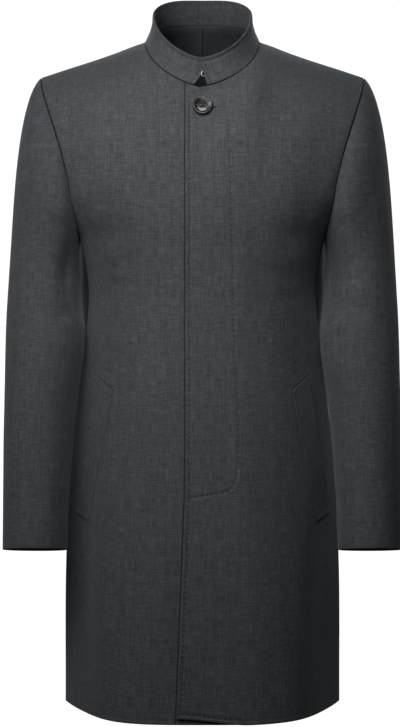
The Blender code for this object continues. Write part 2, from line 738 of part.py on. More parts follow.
def main():
    for item in list(bpy.data.objects):
        bpy.data.objects.remove(item)
    cloth = new_material("coat_cloth", CLOTH_GREY, 0.85)
    lining = new_material("lining", LINING_GREY, 0.45)
    horn = new_material("button_black", BUTTON_BLACK, 0.25)
    steel = new_material("hook_steel", HOOK_STEEL, 0.3, 1.0)

    nets = torso_nets()
    pieces = {name: make_wall(name, *nets[name], BODY_WALL, cloth) for name in nets}
    for part, (net, normals) in sleeve_nets(nets).items():
        make_wall(f"sleeve_left_{part}", net, normals, SLEEVE_WALL, cloth)
        make_wall(f"sleeve_right_{part}", mirrored(net), mirrored(normals), SLEEVE_WALL, cloth)
    collar = make_wall("collar", *collar_net(), COLLAR_WALL, cloth)
    make_welt("pocket_welt_left", pieces["front_left"], 1.0, cloth)
    make_welt("pocket_welt_right", pieces["front_right"], -1.0, cloth)
    make_lining(nets, lining)
    make_button(pieces["front_left"], horn)
    make_hook(collar, steel)


main()
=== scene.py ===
"""Looks of the stand-collar overcoat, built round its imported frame.

Sizes are in millimetres, as the coat's own tables are, and are turned into metres when a mesh is
made. The coat's front faces -Y, its left side lies at +X, and the origin is the middle of the neck.
"""

import math

import bmesh
import bpy
import numpy as np
from mathutils import Matrix, Vector
from mathutils.bvhtree import BVHTree


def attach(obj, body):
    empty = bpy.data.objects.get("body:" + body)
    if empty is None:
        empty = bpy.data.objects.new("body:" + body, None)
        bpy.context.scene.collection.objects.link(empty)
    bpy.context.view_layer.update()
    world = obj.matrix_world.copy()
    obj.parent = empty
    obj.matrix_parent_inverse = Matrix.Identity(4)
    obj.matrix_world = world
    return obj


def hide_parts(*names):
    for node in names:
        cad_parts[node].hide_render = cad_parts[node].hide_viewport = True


MM = 0.001
PI = math.pi

# ---------------------------------------------------------------- sizes of the coat, as in its source

BODY_WALL = 2.5
SLEEVE_WALL = 2.0
COLLAR_WALL = 3.0
LINING_WALL = 1.0
SEAM_GAP = 0.3

MID_Y = 8.0
NECK_HALF_WIDTH = 80.0
NECK_FRONT_REACH = 103.0
NECK_BACK_REACH = 62.0
NECK_FRONT_DROP = 79.0
NECK_BACK_RISE = 32.0
NECK_FRONT_SQUARENESS = 2.5
NECK_BACK_SQUARENESS = 2.2
NECK_DROP_CURVE = 1.56
NECK_RISE_CURVE = 3.2
SHOULDER_LINE = (
    # x, height
    (80, 0), (95, -5), (118, -14), (152, -25.9), (187, -37.1), (226, -50),
)
FRONT_NECK_FALL = (0.0, -0.30, -0.95)
FRONT_ROOT_FALL = (0.05, -0.93, -0.36)
FRONT_TIP_FALL = (-0.02, -0.90, -0.42)
BACK_NECK_FALL = (0.0, 0.52, -0.85)
BACK_ROOT_FALL = (0.04, 0.98, 0.02)
BACK_TIP_FALL = (-0.02, 0.90, -0.42)
UPPER_HANDLE = 0.36

COLLAR_HEIGHT_MEAN = 39.0
COLLAR_HEIGHT_SWING = 2.0
COLLAR_TAPER = 0.125
COLLAR_FLARE = 2.2
COLLAR_LAP = COLLAR_WALL + 1.4
COLLAR_RIGHT_END = (-12.2, 11.0)
COLLAR_LEFT_END = (6.5, -4.4)
COLLAR_SKEW_ANGLE = 50.0

CHEST_LEVEL = -230.0
PIT_LEVEL = -275.0
HEM_LEVEL = -925.0
BODY_SECTIONS = (
    # height, half_width, front_depth, back_depth, flatness, side_roundness
    (-230, 203, 135, 121, 2.50, 0.40), (-255, 186, 134.5, 121, 2.50, 0.42),
    (-275, 172.5, 133, 120, 2.55, 0.45), (-300, 166.5, 130.5, 117, 2.70, 0.52),
    (-349, 159.4, 127, 114, 2.90, 0.65), (-400, 162.8, 127.5, 115, 3, 0.75),
    (-434, 167, 129, 118, 3, 0.80), (-502, 175.2, 133.5, 126, 3.10, 0.83),
    (-608, 186, 142, 136, 3.30, 0.88), (-712, 191, 151, 143, 3.50, 0.92), (-925, 192.4, 165, 152, 4, 1),
)
ARMHOLE_SIDE = (
    # height, front_x, back_x
    (-230, 178.5, 187), (-255, 173.5, 179.5), (-268, 171.5, 174.5), (-275, 172.5, 172.5),
)
LEFT_EDGE = (
    # height, x
    (-60, -22.6), (-618, -22.6), (-925, -34.5),
)
RIGHT_EDGE = (
    (-60, -25), (-400, -25), (-925, -53),
)
LEFT_TOP_CORNER = ((-22.6, -88.0), (-16.0, -82.7), (-5.0, -80.6))
RIGHT_TOP_CORNER = ((-25.0, -81.5), (-11.0, -81.5), (2.0, -81.0))
LAP = BODY_WALL + 1.4
LAP_MARGIN = 6.0
LAP_EASE = 46.0
HEM_LIFT = 8.0
HEM_LIFT_END_X = 62.0
HEM_LIFT_SHARES = ((-925.0, 1.0), (-868.0, 0.4), (-810.0, 0.0))
SHOULDER_ROOT_ANGLE = 27.0

SLEEVE_SECTIONS = (
    # height, centre_x, centre_y, half_width, half_depth, lean, tuck
    (-330, 220, -4, 49.3, 73, 0.06, 26), (-355, 220.2, -9, 50, 71.5, 0.09, 28),
    (-380, 219.6, -15, 51.5, 70, 0.12, 27), (-410, 217.2, -23, 54.4, 68, 0.15, 8),
    (-434, 217.4, -29, 54.2, 66.5, 0.17, 0), (-470, 219.7, -36, 52, 64.5, 0.17, 0),
    (-500, 221.7, -41, 50.3, 62.5, 0.17, 0), (-553, 224.5, -49, 48, 59.5, 0.16, 0),
    (-607, 226.2, -56, 46, 57.5, 0.15, 0), (-705, 228, -68, 43.7, 54, 0.14, 0),
)
TUCK_ANGLE = 232.0
TUCK_SPREAD = 22.0
SLEEVE_TOP_RING = -330.0
SLEEVE_CUFF_RING = -705.0
SLEEVE_START = 0.4
SLEEVE_TOP_STEP = 32.0
CAP_REACH = 45.0
CAP_HANDLE = 0.33
CAP_SPREAD = (0.06, 0.76)
CAP_TURN = 0.60
CAP_FALL = (0.95, 0.63)
FRONT_SEAM_ANGLE = 155.0
BACK_SEAM_ANGLE = 270.0

WELT_TOP_OUTER = (143.8, -468.4)
WELT_TOP_INNER = (120.8, -488.0)
WELT_LOW_OUTER = (173.7, -657.4)
WELT_LOW_INNER = (155.0, -667.7)
WELT_SHELL = 0.7
WELT_BASE = 0.15
WELT_STAND = 1.7
WELT_STAND_CURVE = 1.5
WELT_STAND_ENDS = (0.25, 0.3)   # shares of its length over which it lies down again
WELT_FOLLOW = 0.5               # how much it follows the folds of the cloth below it
WELT_FLAT = (30.0, 190.0)
WELT_FLAT_START = 700.0         # it is cut from another place of the weave than the fronts

BUTTON_AT = (0.3, -107.5)
BUTTON_CLEAR = 0.9
BUTTON_HOLE_RADIUS = 1.3
BUTTON_HOLE_SPREAD = 2.9
BUTTON_HOLE_DEPTH = 1.3
BUTTON_PROFILE = (
    # radius, height
    (0, 2.10), (5.6, 2.15), (8.6, 2.45), (10.2, 3.15), (11.4, 3.60), (12.5, 3.35), (13.2, 2.55),
    (13.6, 1.30),
)
BUTTON_BACK_SHARE = 0.9
BUTTON_HOLE_EDGE = (0.25, 0.15) # its wall starts so far inside the hole's radius and ends outside
BUTTON_THREAD_RADIUS = 0.34
BUTTON_THREAD_OFF = 0.32        # two threads lie this far to each side of a pair's line
BUTTON_THREAD_RISE = 0.25
BUTTON_THREAD_CROSS = 0.15      # the second pair lies this much over the first
BUTTON_THREAD_PAST = 0.6
BUTTON_RINGS = 56
BUTTON_SIDES = 128
BUTTONHOLE_LEVEL = -109.3
BUTTONHOLE_END = 16.6
BUTTONHOLE_SHOWN = 4.4
BUTTONHOLE_PITCH = 0.72
BUTTONHOLE_HALF_WIDTH = 0.95
BUTTONHOLE_END_RADIUS = 0.9
BUTTONHOLE_END_TURNS = (-60.0, -30.0, 0.0, 30.0, 60.0)
BUTTONHOLE_LEAN = 0.12
BUTTONHOLE_THREAD = 1.9
BUTTONHOLE_THREAD_RISE = 0.15

# ---------------------------------------------------------------- how finely the shells are drawn

CORNER_COLUMNS = 12
NECK_COLUMNS = 28
SHOULDER_COLUMNS = 34
BACK_NECK_COLUMNS = 24
ROWS_ABOVE_CHEST = 30
ROWS_TO_PIT_BELOW = 9
ROWS_PIT_TO_HEM = 116
CAP_ROWS = 26
SLEEVE_ROWS = 74
COLLAR_ROW_COUNT = 12
WELT_ROWS = 60
WELT_COLUMNS = 12
LINING_ROWS = 30

ROWS_BELOW_CHEST = np.concatenate((
    np.linspace(CHEST_LEVEL, PIT_LEVEL, ROWS_TO_PIT_BELOW + 1),
    np.linspace(PIT_LEVEL, HEM_LEVEL, ROWS_PIT_TO_HEM + 1)[1:],
))
ROWS_TO_PIT = ROWS_ABOVE_CHEST + ROWS_TO_PIT_BELOW
EDGE_STEPS = (0.3, 0.8, 1.5)    # lines this far from an edge round it off
EDGE_SHARE = 0.75               # and take no more than this of a narrow cell
INNER_DROP = 0.6                # share of the outer face's rounding that the inner face has
EDGE_RADIUS = 1.1
SLEEVE_RADIUS = 0.9
COLLAR_RADIUS = 1.35
WELT_RADIUS = 0.5
LINING_RADIUS = 0.4
SHELL_GAP = 0.04                # between two shells that are sewn together
NECK_SOFT_COLUMNS = 15.0
NECK_SOFT_PASSES = 40
NECK_SOFT_ROWS = (5.0, 4.0, 8.0)    # rows of its start, and of its end before and after the chest
FAINT_SEAM = 1.3                # how far the shadow of a seam pressed flat is weakened

# ---------------------------------------------------------------- stitches

STITCH_PITCH = 7.0
STITCH_INSET = 5.4              # of the row along the front edge
TOP_STITCH_DROP = 6.0           # of the row below the front's top edge
HEM_STITCH_RISE = 6.5
STITCH_LENGTH = 2.8
STITCH_RADIUS = 0.42
STITCH_SUNK = 0.12
FLY_LINE = (
    # x, height of the fly's stitching, seen from the front
    (35, -124), (38, -260), (42, -420), (45.5, -585), (43.5, -605), (39, -615.5), (31.5, -620.5),
    (16, -624), (2, -626), (-17, -629),
)
FLY_POINTS = 90
EDGE_ROW_REACH = 30.0           # the row along the edge is told apart this near to it
EDGE_ROW_SLANT = 12.0
EDGE_ROW_TOP = -92.0
EDGE_ROW_RISE = 10.0            # above the hem
TOP_ROW_START = 3.0             # from the edge
TOP_ROW_END = 14.0
TOP_ROW_LOW = -140.0
HEM_ROW_HIGH = -860.0
HEM_ROW_END = 52.0
RUN_START = 100.0               # the rows across are counted from this far beside the middle
EDGE_THREADS = (97.0, 14.0)     # first one below the neck's level, last one above the hem
THREAD_ROWS = (
    # row of the net, x from, x to, height over that row
    (0, -14.0, 10.0, -TOP_STITCH_DROP),
    (-1, -22.0, 50.0, HEM_STITCH_RISE),
)
COLLAR_STITCH_DROP = 5.6
COLLAR_END_INSET = 5.0
COLLAR_END_ROW = (3.0, 8.0)     # from the neck seam, and below the top edge
FAR_OFF = 999.0
STITCH_LINES = 3
# painted shadow lines: how many, and how dark each is: welt mouth, top and foot; the welt's inner seam
# or the cuff crease; the left front's edge on the right front; one unused
SHADOW_LINE_COUNT = 6
SHADOW_LINE_WEIGHTS = (0.75, 0.75, 0.70, 0.36, 0.85, 0.36)
LINE_OVERRUN = 30.0             # how far past its ends a line is followed
LINE_END = 1.0                  # and how far past them it shows

# ---------------------------------------------------------------- folds of the cloth

FLAT_BEYOND = 1.2               # flat cloth for each mm of width past the chest row's end
FLAT_LEAST_DROP = 0.4           # least share of a step down that stays a step down when flat
FOLD_ENDS = (0.35, 0.6)         # shares of a fold's length where it is full and starts to fade
FOLD_SPREAD = (0.75, 0.5)       # share of its width at the start, and what it gains on the way
FOLD_SIDE_FADE = 0.10
FOLD_TOP_FADE = 0.05
BANK_OFF = 1.9                  # where the low banks beside a fold lie, in widths
BANK_RISE = 0.3
SLEEVE_SEAM_FADE = 0.06
SLEEVE_CAP_FADE = 0.08
SLEEVE_CUFF_FADE = 0.03
FRONT_FOLDS = (
    # x, height, end_x, end_height, bow, width, depth
    (-165, -120, -128, -262, -9, 21, -2.6), (163, -112, 126, -268, 10, 22, -3),
    (-151, -205, -96, -300, -6, 15, -1.3), (150, -215, 104, -312, 7, 14, -1.1),
    (-132, -92, -58, -146, 7, 17, -0.9), (128, -88, 66, -132, -6, 15, -1),
    (-98, -226, -22, -234, 7, 15, -1.1), (46, -232, 112, -222, 8, 14, -1),
    (-142, -322, -64, -302, -6, 9, -1.2), (-136, -352, -78, -346, 5, 8, -0.9),
    (138, -332, 74, -318, 6, 9, -1.1), (133, -366, 92, -372, -5, 8, -0.8),
    (-118, -430, -104, -900, 9, 30, -1.6), (-156, -545, -160, -1010, -4, 19, -5),
    (-66, -520, -78, -915, -5, 26, 1.2), (120, -470, 116, -905, -8, 28, -1.7),
    (158, -560, 163, -1010, 5, 18, -3.6), (84, -560, 92, -918, 6, 24, 1.1),
    (-30, -660, -41, -920, 3, 14, -0.8), (58, -240, 60, -585, -4, 12, 0.7),
)
BACK_FOLDS = (
    (128, -60, 96, -300, 9, 20, -2.2), (-124, -66, -99, -290, -8, 21, -2.4),
    (156, -150, 120, -262, 6, 13, -1.5), (-158, -142, -116, -270, -7, 14, -1.4),
    (60, -30, 78, -190, -6, 19, 1.1), (-57, -34, -74, -178, 6, 18, 1.2),
    (138, -318, 30, -338, 9, 10, -1.2), (-140, -326, -26, -334, -8, 10, -1.3),
    (128, -362, 42, -369, -7, 9, -0.9), (-124, -358, -50, -374, 6, 9, -0.8),
    (112, -430, 124, -905, -8, 30, -2), (-116, -424, -120, -908, 9, 31, -1.8),
    (62, -470, 70, -915, 6, 25, 1.4), (-64, -482, -67, -912, -7, 26, 1.3),
    (16, -520, 22, -918, 3, 16, -0.8),
)
SLEEVE_FOLDS = (
    # turn, height, end_turn, end_height, bow, width, depth, in mm round the sleeve from the turns
    (150, -342, 92, -322, 5, 10, -1.3), (148, -262, 140, -402, 6, 15, -4.5),
    (160, -372, 70, -388, -6, 11, -1.7), (156, -402, 84, -424, 5, 9, -1.2),
    (164, -438, 96, -446, -5, 10, -1), (60, -190, 84, -330, 6, 17, -1.6),
    (20, -250, 34, -560, 8, 22, 0.9), (300, -210, 284, -350, -7, 18, -1.9),
    (250, -352, 322, -380, 7, 12, -1.5), (246, -396, 318, -404, -5, 11, -1.1),
    (110, -520, 96, -676, 5, 15, -0.9), (212, -500, 230, -660, -5, 16, -0.8),
    (10, -600, 350, -690, 5, 18, -0.8),
)
SLEEVE_GIRTH = 370.0
SLEEVE_FOLD_SHIFTS = (7.0, -5.0)    # a fold's ends move so much up the left sleeve, down the right
UNDER_BULGES = (
    # turn, height, width, tall, rise
    (229, -292, 26, 26, 7), (214, -277, 20, 11, 4), (231, -404, 24, 22, 6.5),
)
CUFF_CREASE = 3.4
TAPE_REACH = 5.0
TAPE_CLEAR = 0.6
TAPE_WALL = 0.4
FACING_WIDTH = 95.0
LINING_SUNK = 0.8
LINING_SUNK_ROWS = 2.0
LINING_RISE = 5.0               # of its top edge behind the collar, and at its sides
LINING_SIDE_RISE = 0.4
LINING_SIDE = 4.0
LINING_HEAD_SHARE = 0.99
LINING_HEAD_FORWARD = 1.2
PLEAT_WIDTH = 2.2
PLEAT_DEPTH = 0.5
HEM_TURN = 45.0
NO_FACING = -1.0
# painted shadow lines: their inset from the edges that cast them, their width, and how far the welt's
# mouth and seam lines run
SHADOW_INSET = 1.2
WELT_SHADOW_SHARE = 0.6
SHADOW_LINE_REACH = 1.15
WELT_MOUTH = 34.0
WELT_SEAM_SHOWN = 60.0
FLY_PROFILE = (
    # x, how far the left front stands out over the fly
    (-22.6, 0), (-8, 0.75), (6, 0.55), (22, -0.25), (34, -0.85), (46, 0.1), (60, 0.35), (84, 0),
)
FLY_TOP = -150.0
FLY_TOP_FADE = 40.0
FLY_END = -640.0
FLY_END_FADE = 30.0
HIDDEN_BUTTON_X = 15.5
HIDDEN_BUTTON_PITCH = 82.0
HIDDEN_BUTTON_COUNT = 5
HIDDEN_BUTTON_RADIUS = 15.0
HIDDEN_BUTTON_RISE = 0.85

# ---------------------------------------------------------------- colours

WOOL_DARK = (0.036, 0.0385, 0.041, 1.0)
WOOL_MID = (0.0868, 0.0935, 0.0998, 1.0)
WOOL_LIGHT = (0.157, 0.168, 0.178, 1.0)
# painted shade: the colour that seams, creases and the painted shadow lines darken towards
PAINTED_SHADE = (0.010, 0.011, 0.012, 1.0)
LINING_DARK = (0.040, 0.045, 0.048, 1.0)
LINING_LIGHT = (0.070, 0.078, 0.083, 1.0)
THREAD_GREY = (0.018, 0.0195, 0.021, 1.0)
BUTTON_BLACK = (0.010, 0.011, 0.012, 1.0)
BUTTON_SWIRL = (0.026, 0.026, 0.028, 1.0)
HOOK_STEEL = (0.86, 0.87, 0.88, 1.0)
HOOK_MARK = (0.66, 0.67, 0.69, 1.0)
FLOOR_PALE = (0.86, 0.86, 0.86, 1.0)
SKY_LIGHT = (0.95, 0.98, 1.0, 1.0)
SKY_SEEN = (1.0, 1.0, 1.0, 1.0)

WOOL_YARNS = (
    # whether it lies up the cloth, pitch and length of its tone in mm, contrast, weight
    (True, 1.9, 20.0, 0.22, 0.20),
    (False, 1.9, 15.0, 0.22, 0.18),
    (True, 6.5, 150.0, 0.20, 0.06),
    (False, 6.0, 90.0, 0.20, 0.055),
    (True, 1.5, 1.5, 0.25, 0.22),
)
TONE_REACH = 0.6                # the tone at which the wool has its lightest or darkest colour
RIB_PITCH = 0.9
DIMPLE_REACH = 1.4              # of a stitch's dimple, beside the row
DIMPLE_LENGTH = 0.28            # and along it, in pitches
# the dimples take the thread's dark grey: partly the thread's own colour, partly painted shade in the
# dimple
DIMPLE_THREAD_AND_SHADE = 0.62
VALLEY_REACH = 3.6
# painted shade beside the sewn seams: how wide and how dark
SEAM_SHADE_REACH = 1.5
SEAM_SHADE_WEIGHT = 0.85
# painted shade beside the lining's seams and along its pleat
LINING_SEAM_SHADE_REACH = 2.4
PLEAT_SHADE_REACH = 1.3
PLEAT_SHADE_WEIGHT = 0.7
ROLL_INSET = 2.4                # a soft roll beside the free edges
ROLL_REACH = 2.3
WOOL_RELIEF = {"tone": 0.9, "ribs": 0.10, "dimples": -2.2, "valleys": -2.0, "roll": 1.3,
               "darks": -2.0}

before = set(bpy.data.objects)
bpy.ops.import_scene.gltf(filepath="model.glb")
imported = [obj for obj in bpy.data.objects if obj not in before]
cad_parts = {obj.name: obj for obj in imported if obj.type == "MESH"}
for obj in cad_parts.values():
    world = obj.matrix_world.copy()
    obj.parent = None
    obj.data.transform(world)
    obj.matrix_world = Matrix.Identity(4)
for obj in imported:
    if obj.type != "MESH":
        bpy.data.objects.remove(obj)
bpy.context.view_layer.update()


# ---------------------------------------------------------------- curves and tables

def read(table, column, at):
    """A table's column at a height, on a smooth curve through the rows."""
    rows = sorted(table)
    xs = np.array([row[0] for row in rows])
    ys = np.array([row[column] for row in rows])
    if at <= xs[0]:
        return float(ys[0])
    if at >= xs[-1]:
        return float(ys[-1])
    slopes = np.gradient(ys, xs)
    k = int(np.searchsorted(xs, at)) - 1
    span = xs[k + 1] - xs[k]
    t = (at - xs[k]) / span
    low = ys[k] * (2 * t**3 - 3 * t**2 + 1) + slopes[k] * span * (t**3 - 2 * t**2 + t)
    high = ys[k + 1] * (3 * t**2 - 2 * t**3) + slopes[k + 1] * span * (t**3 - t**2)
    return float(low + high)


def read_straight(table, at):
    """The second column of a two-column table, on straight stretches."""
    rows = sorted(table)
    return np.interp(at, [row[0] for row in rows], [row[1] for row in rows])


def unit(vector):
    return np.asarray(vector, float) / np.linalg.norm(vector)


def units(vectors):
    """Each vector of an array at length 1."""
    return vectors / np.linalg.norm(vectors, axis=-1, keepdims=True)


def ramp(value, start, end):
    """0 at start, 1 at end, smooth between."""
    t = np.clip((value - start) / (end - start), 0.0, 1.0)
    return t * t * (3 - 2 * t)


def lengths_along(points, axis=0):
    """Length from the first point of a line to each of its points, along one axis of a net."""
    steps = np.linalg.norm(np.diff(points, axis=axis), axis=-1)
    start = np.zeros_like(np.take(steps, [0], axis=axis))
    return np.concatenate((start, np.cumsum(steps, axis=axis)), axis=axis)


def band_places(net):
    """Mean length along a band for each column, and each point's height up it."""
    return lengths_along(net, 1).mean(axis=0), lengths_along(net)


def bezier(start, start_handle, end_handle, end, count):
    """Points along a cubic curve, both ends included."""
    t = (np.arange(count + 1) / count)[:, None]
    near = start * (1 - t) ** 3 + 3 * start_handle * t * (1 - t) ** 2
    return list(near + 3 * end_handle * t**2 * (1 - t) + end * t**3)


# ---------------------------------------------------------------- the body's surface

def neck_point(angle):
    """Neck seam at an angle in degrees: 0 front, 90 left side, 180 back."""
    turn = math.radians(angle)
    side = abs(math.sin(turn))
    x = NECK_HALF_WIDTH * math.sin(turn)
    if math.cos(turn) >= 0:
        reach = (1 - side**NECK_FRONT_SQUARENESS) ** (1 / NECK_FRONT_SQUARENESS)
        y = MID_Y - NECK_FRONT_REACH * reach
        z = -NECK_FRONT_DROP * math.sqrt(1 - side**NECK_DROP_CURVE)
    else:
        reach = (1 - side**NECK_BACK_SQUARENESS) ** (1 / NECK_BACK_SQUARENESS)
        y = MID_Y + NECK_BACK_REACH * reach
        z = NECK_BACK_RISE * math.sqrt(1 - side**NECK_RISE_CURVE)
    return np.array((x, y, z))


def neck_angle(x):
    return math.degrees(math.asin(x / NECK_HALF_WIDTH))


def body_point(x, height, front):
    """A point of the body's outer surface below the chest level."""
    width, depth, flatness, roundness = (
        read(BODY_SECTIONS, column, height) for column in (1, 2 if front else 3, 4, 5)
    )
    share = min(abs(x) / width, 1.0)
    reach = depth * (1 - share**flatness) ** roundness
    return np.array((x, MID_Y - reach if front else MID_Y + reach, height))


def side_x(height, front):
    """Where a body row ends: at the armhole, and below it at the side seam."""
    if height > PIT_LEVEL:
        return read(ARMHOLE_SIDE, 1 if front else 2, height)
    return read(BODY_SECTIONS, 1, height)


def low_row(height, front, edge_x, neck_columns):
    """A level row of body points, from the middle edge to the side."""
    width = read(BODY_SECTIONS, 1, height)
    first = math.degrees(math.asin(edge_x / width))
    last = math.degrees(math.asin(min(side_x(height, front) / width, 1.0)))
    angles = list(np.linspace(first, SHOULDER_ROOT_ANGLE, neck_columns + 1))
    angles += list(np.linspace(SHOULDER_ROOT_ANGLE, last, SHOULDER_COLUMNS + 1))[1:]
    return [body_point(width * math.sin(math.radians(a)), height, front) for a in angles]


def shoulder_points():
    xs = np.linspace(SHOULDER_LINE[0][0], SHOULDER_LINE[-1][0], SHOULDER_COLUMNS + 1)[1:]
    return [np.array((x, MID_Y, read(SHOULDER_LINE, 1, x))) for x in xs]


def upper_rows(top, chest, below, top_directions):
    """Columns from the neck and shoulder seams down to the chest row, as rows."""
    columns = []
    for start, end, next_end, direction in zip(top, chest, below, top_directions):
        down = unit(unit(next_end - end) + np.array((0.0, 0.0, -1.0)))
        handle = UPPER_HANDLE * np.linalg.norm(end - start)
        columns.append(
            bezier(start, start + unit(direction) * handle, end - down * handle, end,
                   ROWS_ABOVE_CHEST)
        )
    return [[column[row] for column in columns] for row in range(ROWS_ABOVE_CHEST)]


def front_direction(x):
    """Which way the cloth of a front leaves its top edge, x from the middle."""
    neck, root, tip = (np.array(way) for way in (FRONT_NECK_FALL, FRONT_ROOT_FALL, FRONT_TIP_FALL))
    if abs(x) <= NECK_HALF_WIDTH:
        return unit(neck + (root - neck) * (abs(x) / NECK_HALF_WIDTH) ** 2)
    share = (x - NECK_HALF_WIDTH) / (SHOULDER_LINE[-1][0] - NECK_HALF_WIDTH)
    return unit(root + (tip - root) * share**2)


def back_direction(neck_share, tip_share):
    """The same for the back: shares run from the nape to the neck's side, and on to the tip."""
    neck, root, tip = (np.array(way) for way in (BACK_NECK_FALL, BACK_ROOT_FALL, BACK_TIP_FALL))
    return unit(neck + (root - neck) * neck_share**1.3 + (tip - root) * tip_share**1.5)


def front_top(corner, collar_end):
    """Top edge of a front: its free corner, the neck seam and the shoulder seam."""
    end = neck_point(neck_angle(abs(collar_end[0])))
    outline = tuple(corner) + ((end[0], end[2]),)
    points = []
    for x in np.linspace(corner[0][0], end[0], CORNER_COLUMNS + 1)[:-1]:
        height = read(outline, 1, x)
        seam = neck_point(neck_angle(x))
        way = front_direction(x)
        points.append(seam + way * max(seam[2] - height, 0.0) / -way[2])
        points[-1][0] = x
    first = neck_angle(end[0])
    points += [neck_point(a) for a in np.linspace(first, 90.0, NECK_COLUMNS + 1)]
    return points + shoulder_points()


def front_net(edge, corner, collar_end):
    """Outer points of the left front, or of the right front before it is mirrored."""
    neck_columns = NECK_COLUMNS + CORNER_COLUMNS
    top = front_top(corner, collar_end)
    rows = [low_row(z, True, read_straight(edge, z), neck_columns) for z in ROWS_BELOW_CHEST]
    directions = [front_direction(point[0]) for point in top]
    return np.array(upper_rows(top, rows[0], rows[1], directions) + rows)


def back_net():
    """Outer points of the left back."""
    top = [neck_point(a) for a in np.linspace(180.0, 90.0, BACK_NECK_COLUMNS + 1)]
    top += shoulder_points()
    rows = [low_row(z, False, 0.0, BACK_NECK_COLUMNS) for z in ROWS_BELOW_CHEST]
    directions = [
        back_direction(min(column / BACK_NECK_COLUMNS, 1.0),
                       max(column - BACK_NECK_COLUMNS, 0) / SHOULDER_COLUMNS)
        for column in range(len(top))
    ]
    return np.array(upper_rows(top, rows[0], rows[1], directions) + rows)


def net_normals(net, outwards):
    """Unit normals of a net of points, turned towards the side that outwards names."""
    along = np.gradient(net, axis=1)
    down = np.gradient(net, axis=0)
    normals = np.cross(along, down)
    lengths = np.linalg.norm(normals, axis=2, keepdims=True)
    return normals / np.maximum(lengths, 1e-9) * outwards


def soften_corner(net, normals, corner):
    """Smooth away the ridge that would run down the cloth below the neck's corner column."""
    rows = np.arange(len(net))
    columns = abs(np.arange(net.shape[1]) - corner)
    near = 1 - ramp(columns, NECK_SOFT_COLUMNS / 3, NECK_SOFT_COLUMNS)
    start, before, after = NECK_SOFT_ROWS
    high = ramp(rows, 0.0, start)
    high *= 1 - ramp(rows, ROWS_ABOVE_CHEST - before, ROWS_ABOVE_CHEST + after)
    weight = high[:, None] * near[None, :]
    net = net.copy()
    for _ in range(NECK_SOFT_PASSES):
        off = (net[:, :-2] + net[:, 2:] - 2 * net[:, 1:-1]) / 4
        rise = (off * normals[:, 1:-1]).sum(axis=2) * weight[:, 1:-1]
        net[:, 1:-1] += normals[:, 1:-1] * rise[..., None]
    return net


def pull_in(net, edge, amount, keep=slice(None)):
    """Draw the kept part of a net's edge back from its seam, towards the next row or column."""
    lines = {"top": (net[0], net[1]), "left": (net[:, 0], net[:, 1]),
             "right": (net[:, -1], net[:, -2])}
    line, inner = lines[edge]
    step = inner - line
    lengths = np.linalg.norm(step, axis=1, keepdims=True)
    moved = line + step * amount / np.maximum(lengths, 1e-9)
    line[keep] = moved[keep]


def mirrored(net):
    return net * np.array((-1.0, 1.0, 1.0))


def lap_share(x, height):
    """How much of the lap the left side has: all of it over the right front, none further on."""
    start = LAP_MARGIN - read_straight(RIGHT_EDGE, height)
    return 1 - ramp(x, start, start + LAP_EASE)


def lap_out(net, normals):
    """The left front laid over the right one, easing back to the body past the fly."""
    ways = normals.copy()
    ways[0, :, 2] = 0.0
    ways[0] /= np.maximum(np.linalg.norm(ways[0], axis=1, keepdims=True), 0.2)
    return net + ways * (LAP * lap_share(net[..., 0], net[..., 2]))[..., None]


def raise_hem(net):
    """The left front's lower corner, a little shorter than the cloth under it."""
    across = 1 - ramp(net[..., 0], LEFT_EDGE[-1][1], HEM_LIFT_END_X)
    net[..., 2] += HEM_LIFT * across * read_straight(HEM_LIFT_SHARES, net[..., 2])
    return net


def torso_nets():
    """Outer points and normals of both fronts and both backs, with common seam normals."""
    left = raise_hem(front_net(LEFT_EDGE, LEFT_TOP_CORNER, COLLAR_LEFT_END))
    right = front_net(RIGHT_EDGE, RIGHT_TOP_CORNER, COLLAR_RIGHT_END)
    back = back_net()
    left_normals = net_normals(left, -1.0)
    right_normals = net_normals(right, -1.0)
    back_normals = net_normals(back, 1.0)
    back_normals[:, 0, 0] = 0.0
    back_normals[:, 0] = units(back_normals[:, 0])
    shoulder = (0, slice(-SHOULDER_COLUMNS - 1, None))
    side = (slice(ROWS_TO_PIT, None), -1)
    for seam in (shoulder, side):
        common = units(left_normals[seam] + right_normals[seam] + 2 * back_normals[seam])
        for normals in (left_normals, right_normals, back_normals):
            normals[seam] = common
    half = SHELL_GAP / 2
    for net in (left, right, back):
        pull_in(net, "top", half, shoulder[1])
        pull_in(net, "right", half, side[0])
    pull_in(back, "left", half)
    return {
        "front_left": (lap_out(left, left_normals), left_normals),
        "front_right": (mirrored(right), mirrored(right_normals)),
        "back_left": (back, back_normals),
        "back_right": (mirrored(back), mirrored(back_normals)),
    }


# ---------------------------------------------------------------- sleeves and collar

def armhole_loop(nets):
    """Armhole points of the left side with their turn, from the shoulder round the front."""
    front = nets["front_left"][0][:ROWS_TO_PIT + 1, -1]
    back = nets["back_left"][0][:ROWS_TO_PIT + 1, -1]
    loop = []
    for line, sense in ((front, 1.0), (back, -1.0)):
        along = lengths_along(line)
        half_turn = 180.0 * along / along[-1]
        turns = half_turn if sense > 0 else 360.0 - half_turn
        loop.append(list(zip(turns, line)))
    points = loop[0] + loop[1][-2:0:-1]
    points[0] = (0.0, (front[0] + back[0]) / 2)
    points[ROWS_TO_PIT] = (180.0, (front[-1] + back[-1]) / 2)
    return points


def sleeve_point(height, turn):
    """A point of the sleeve's outer surface; the turn is 0 outwards and 90 forwards."""
    centre_x, centre_y, half_width, half_depth, lean, tuck = (
        read(SLEEVE_SECTIONS, column, height) for column in range(1, 7)
    )
    angle = math.radians(turn)
    x = half_width * math.cos(angle) - tuck * math.exp(-(((turn - TUCK_ANGLE) / TUCK_SPREAD) ** 2))
    y = -half_depth * math.sin(angle)
    return np.array((centre_x + x, centre_y + y, height - lean * y))


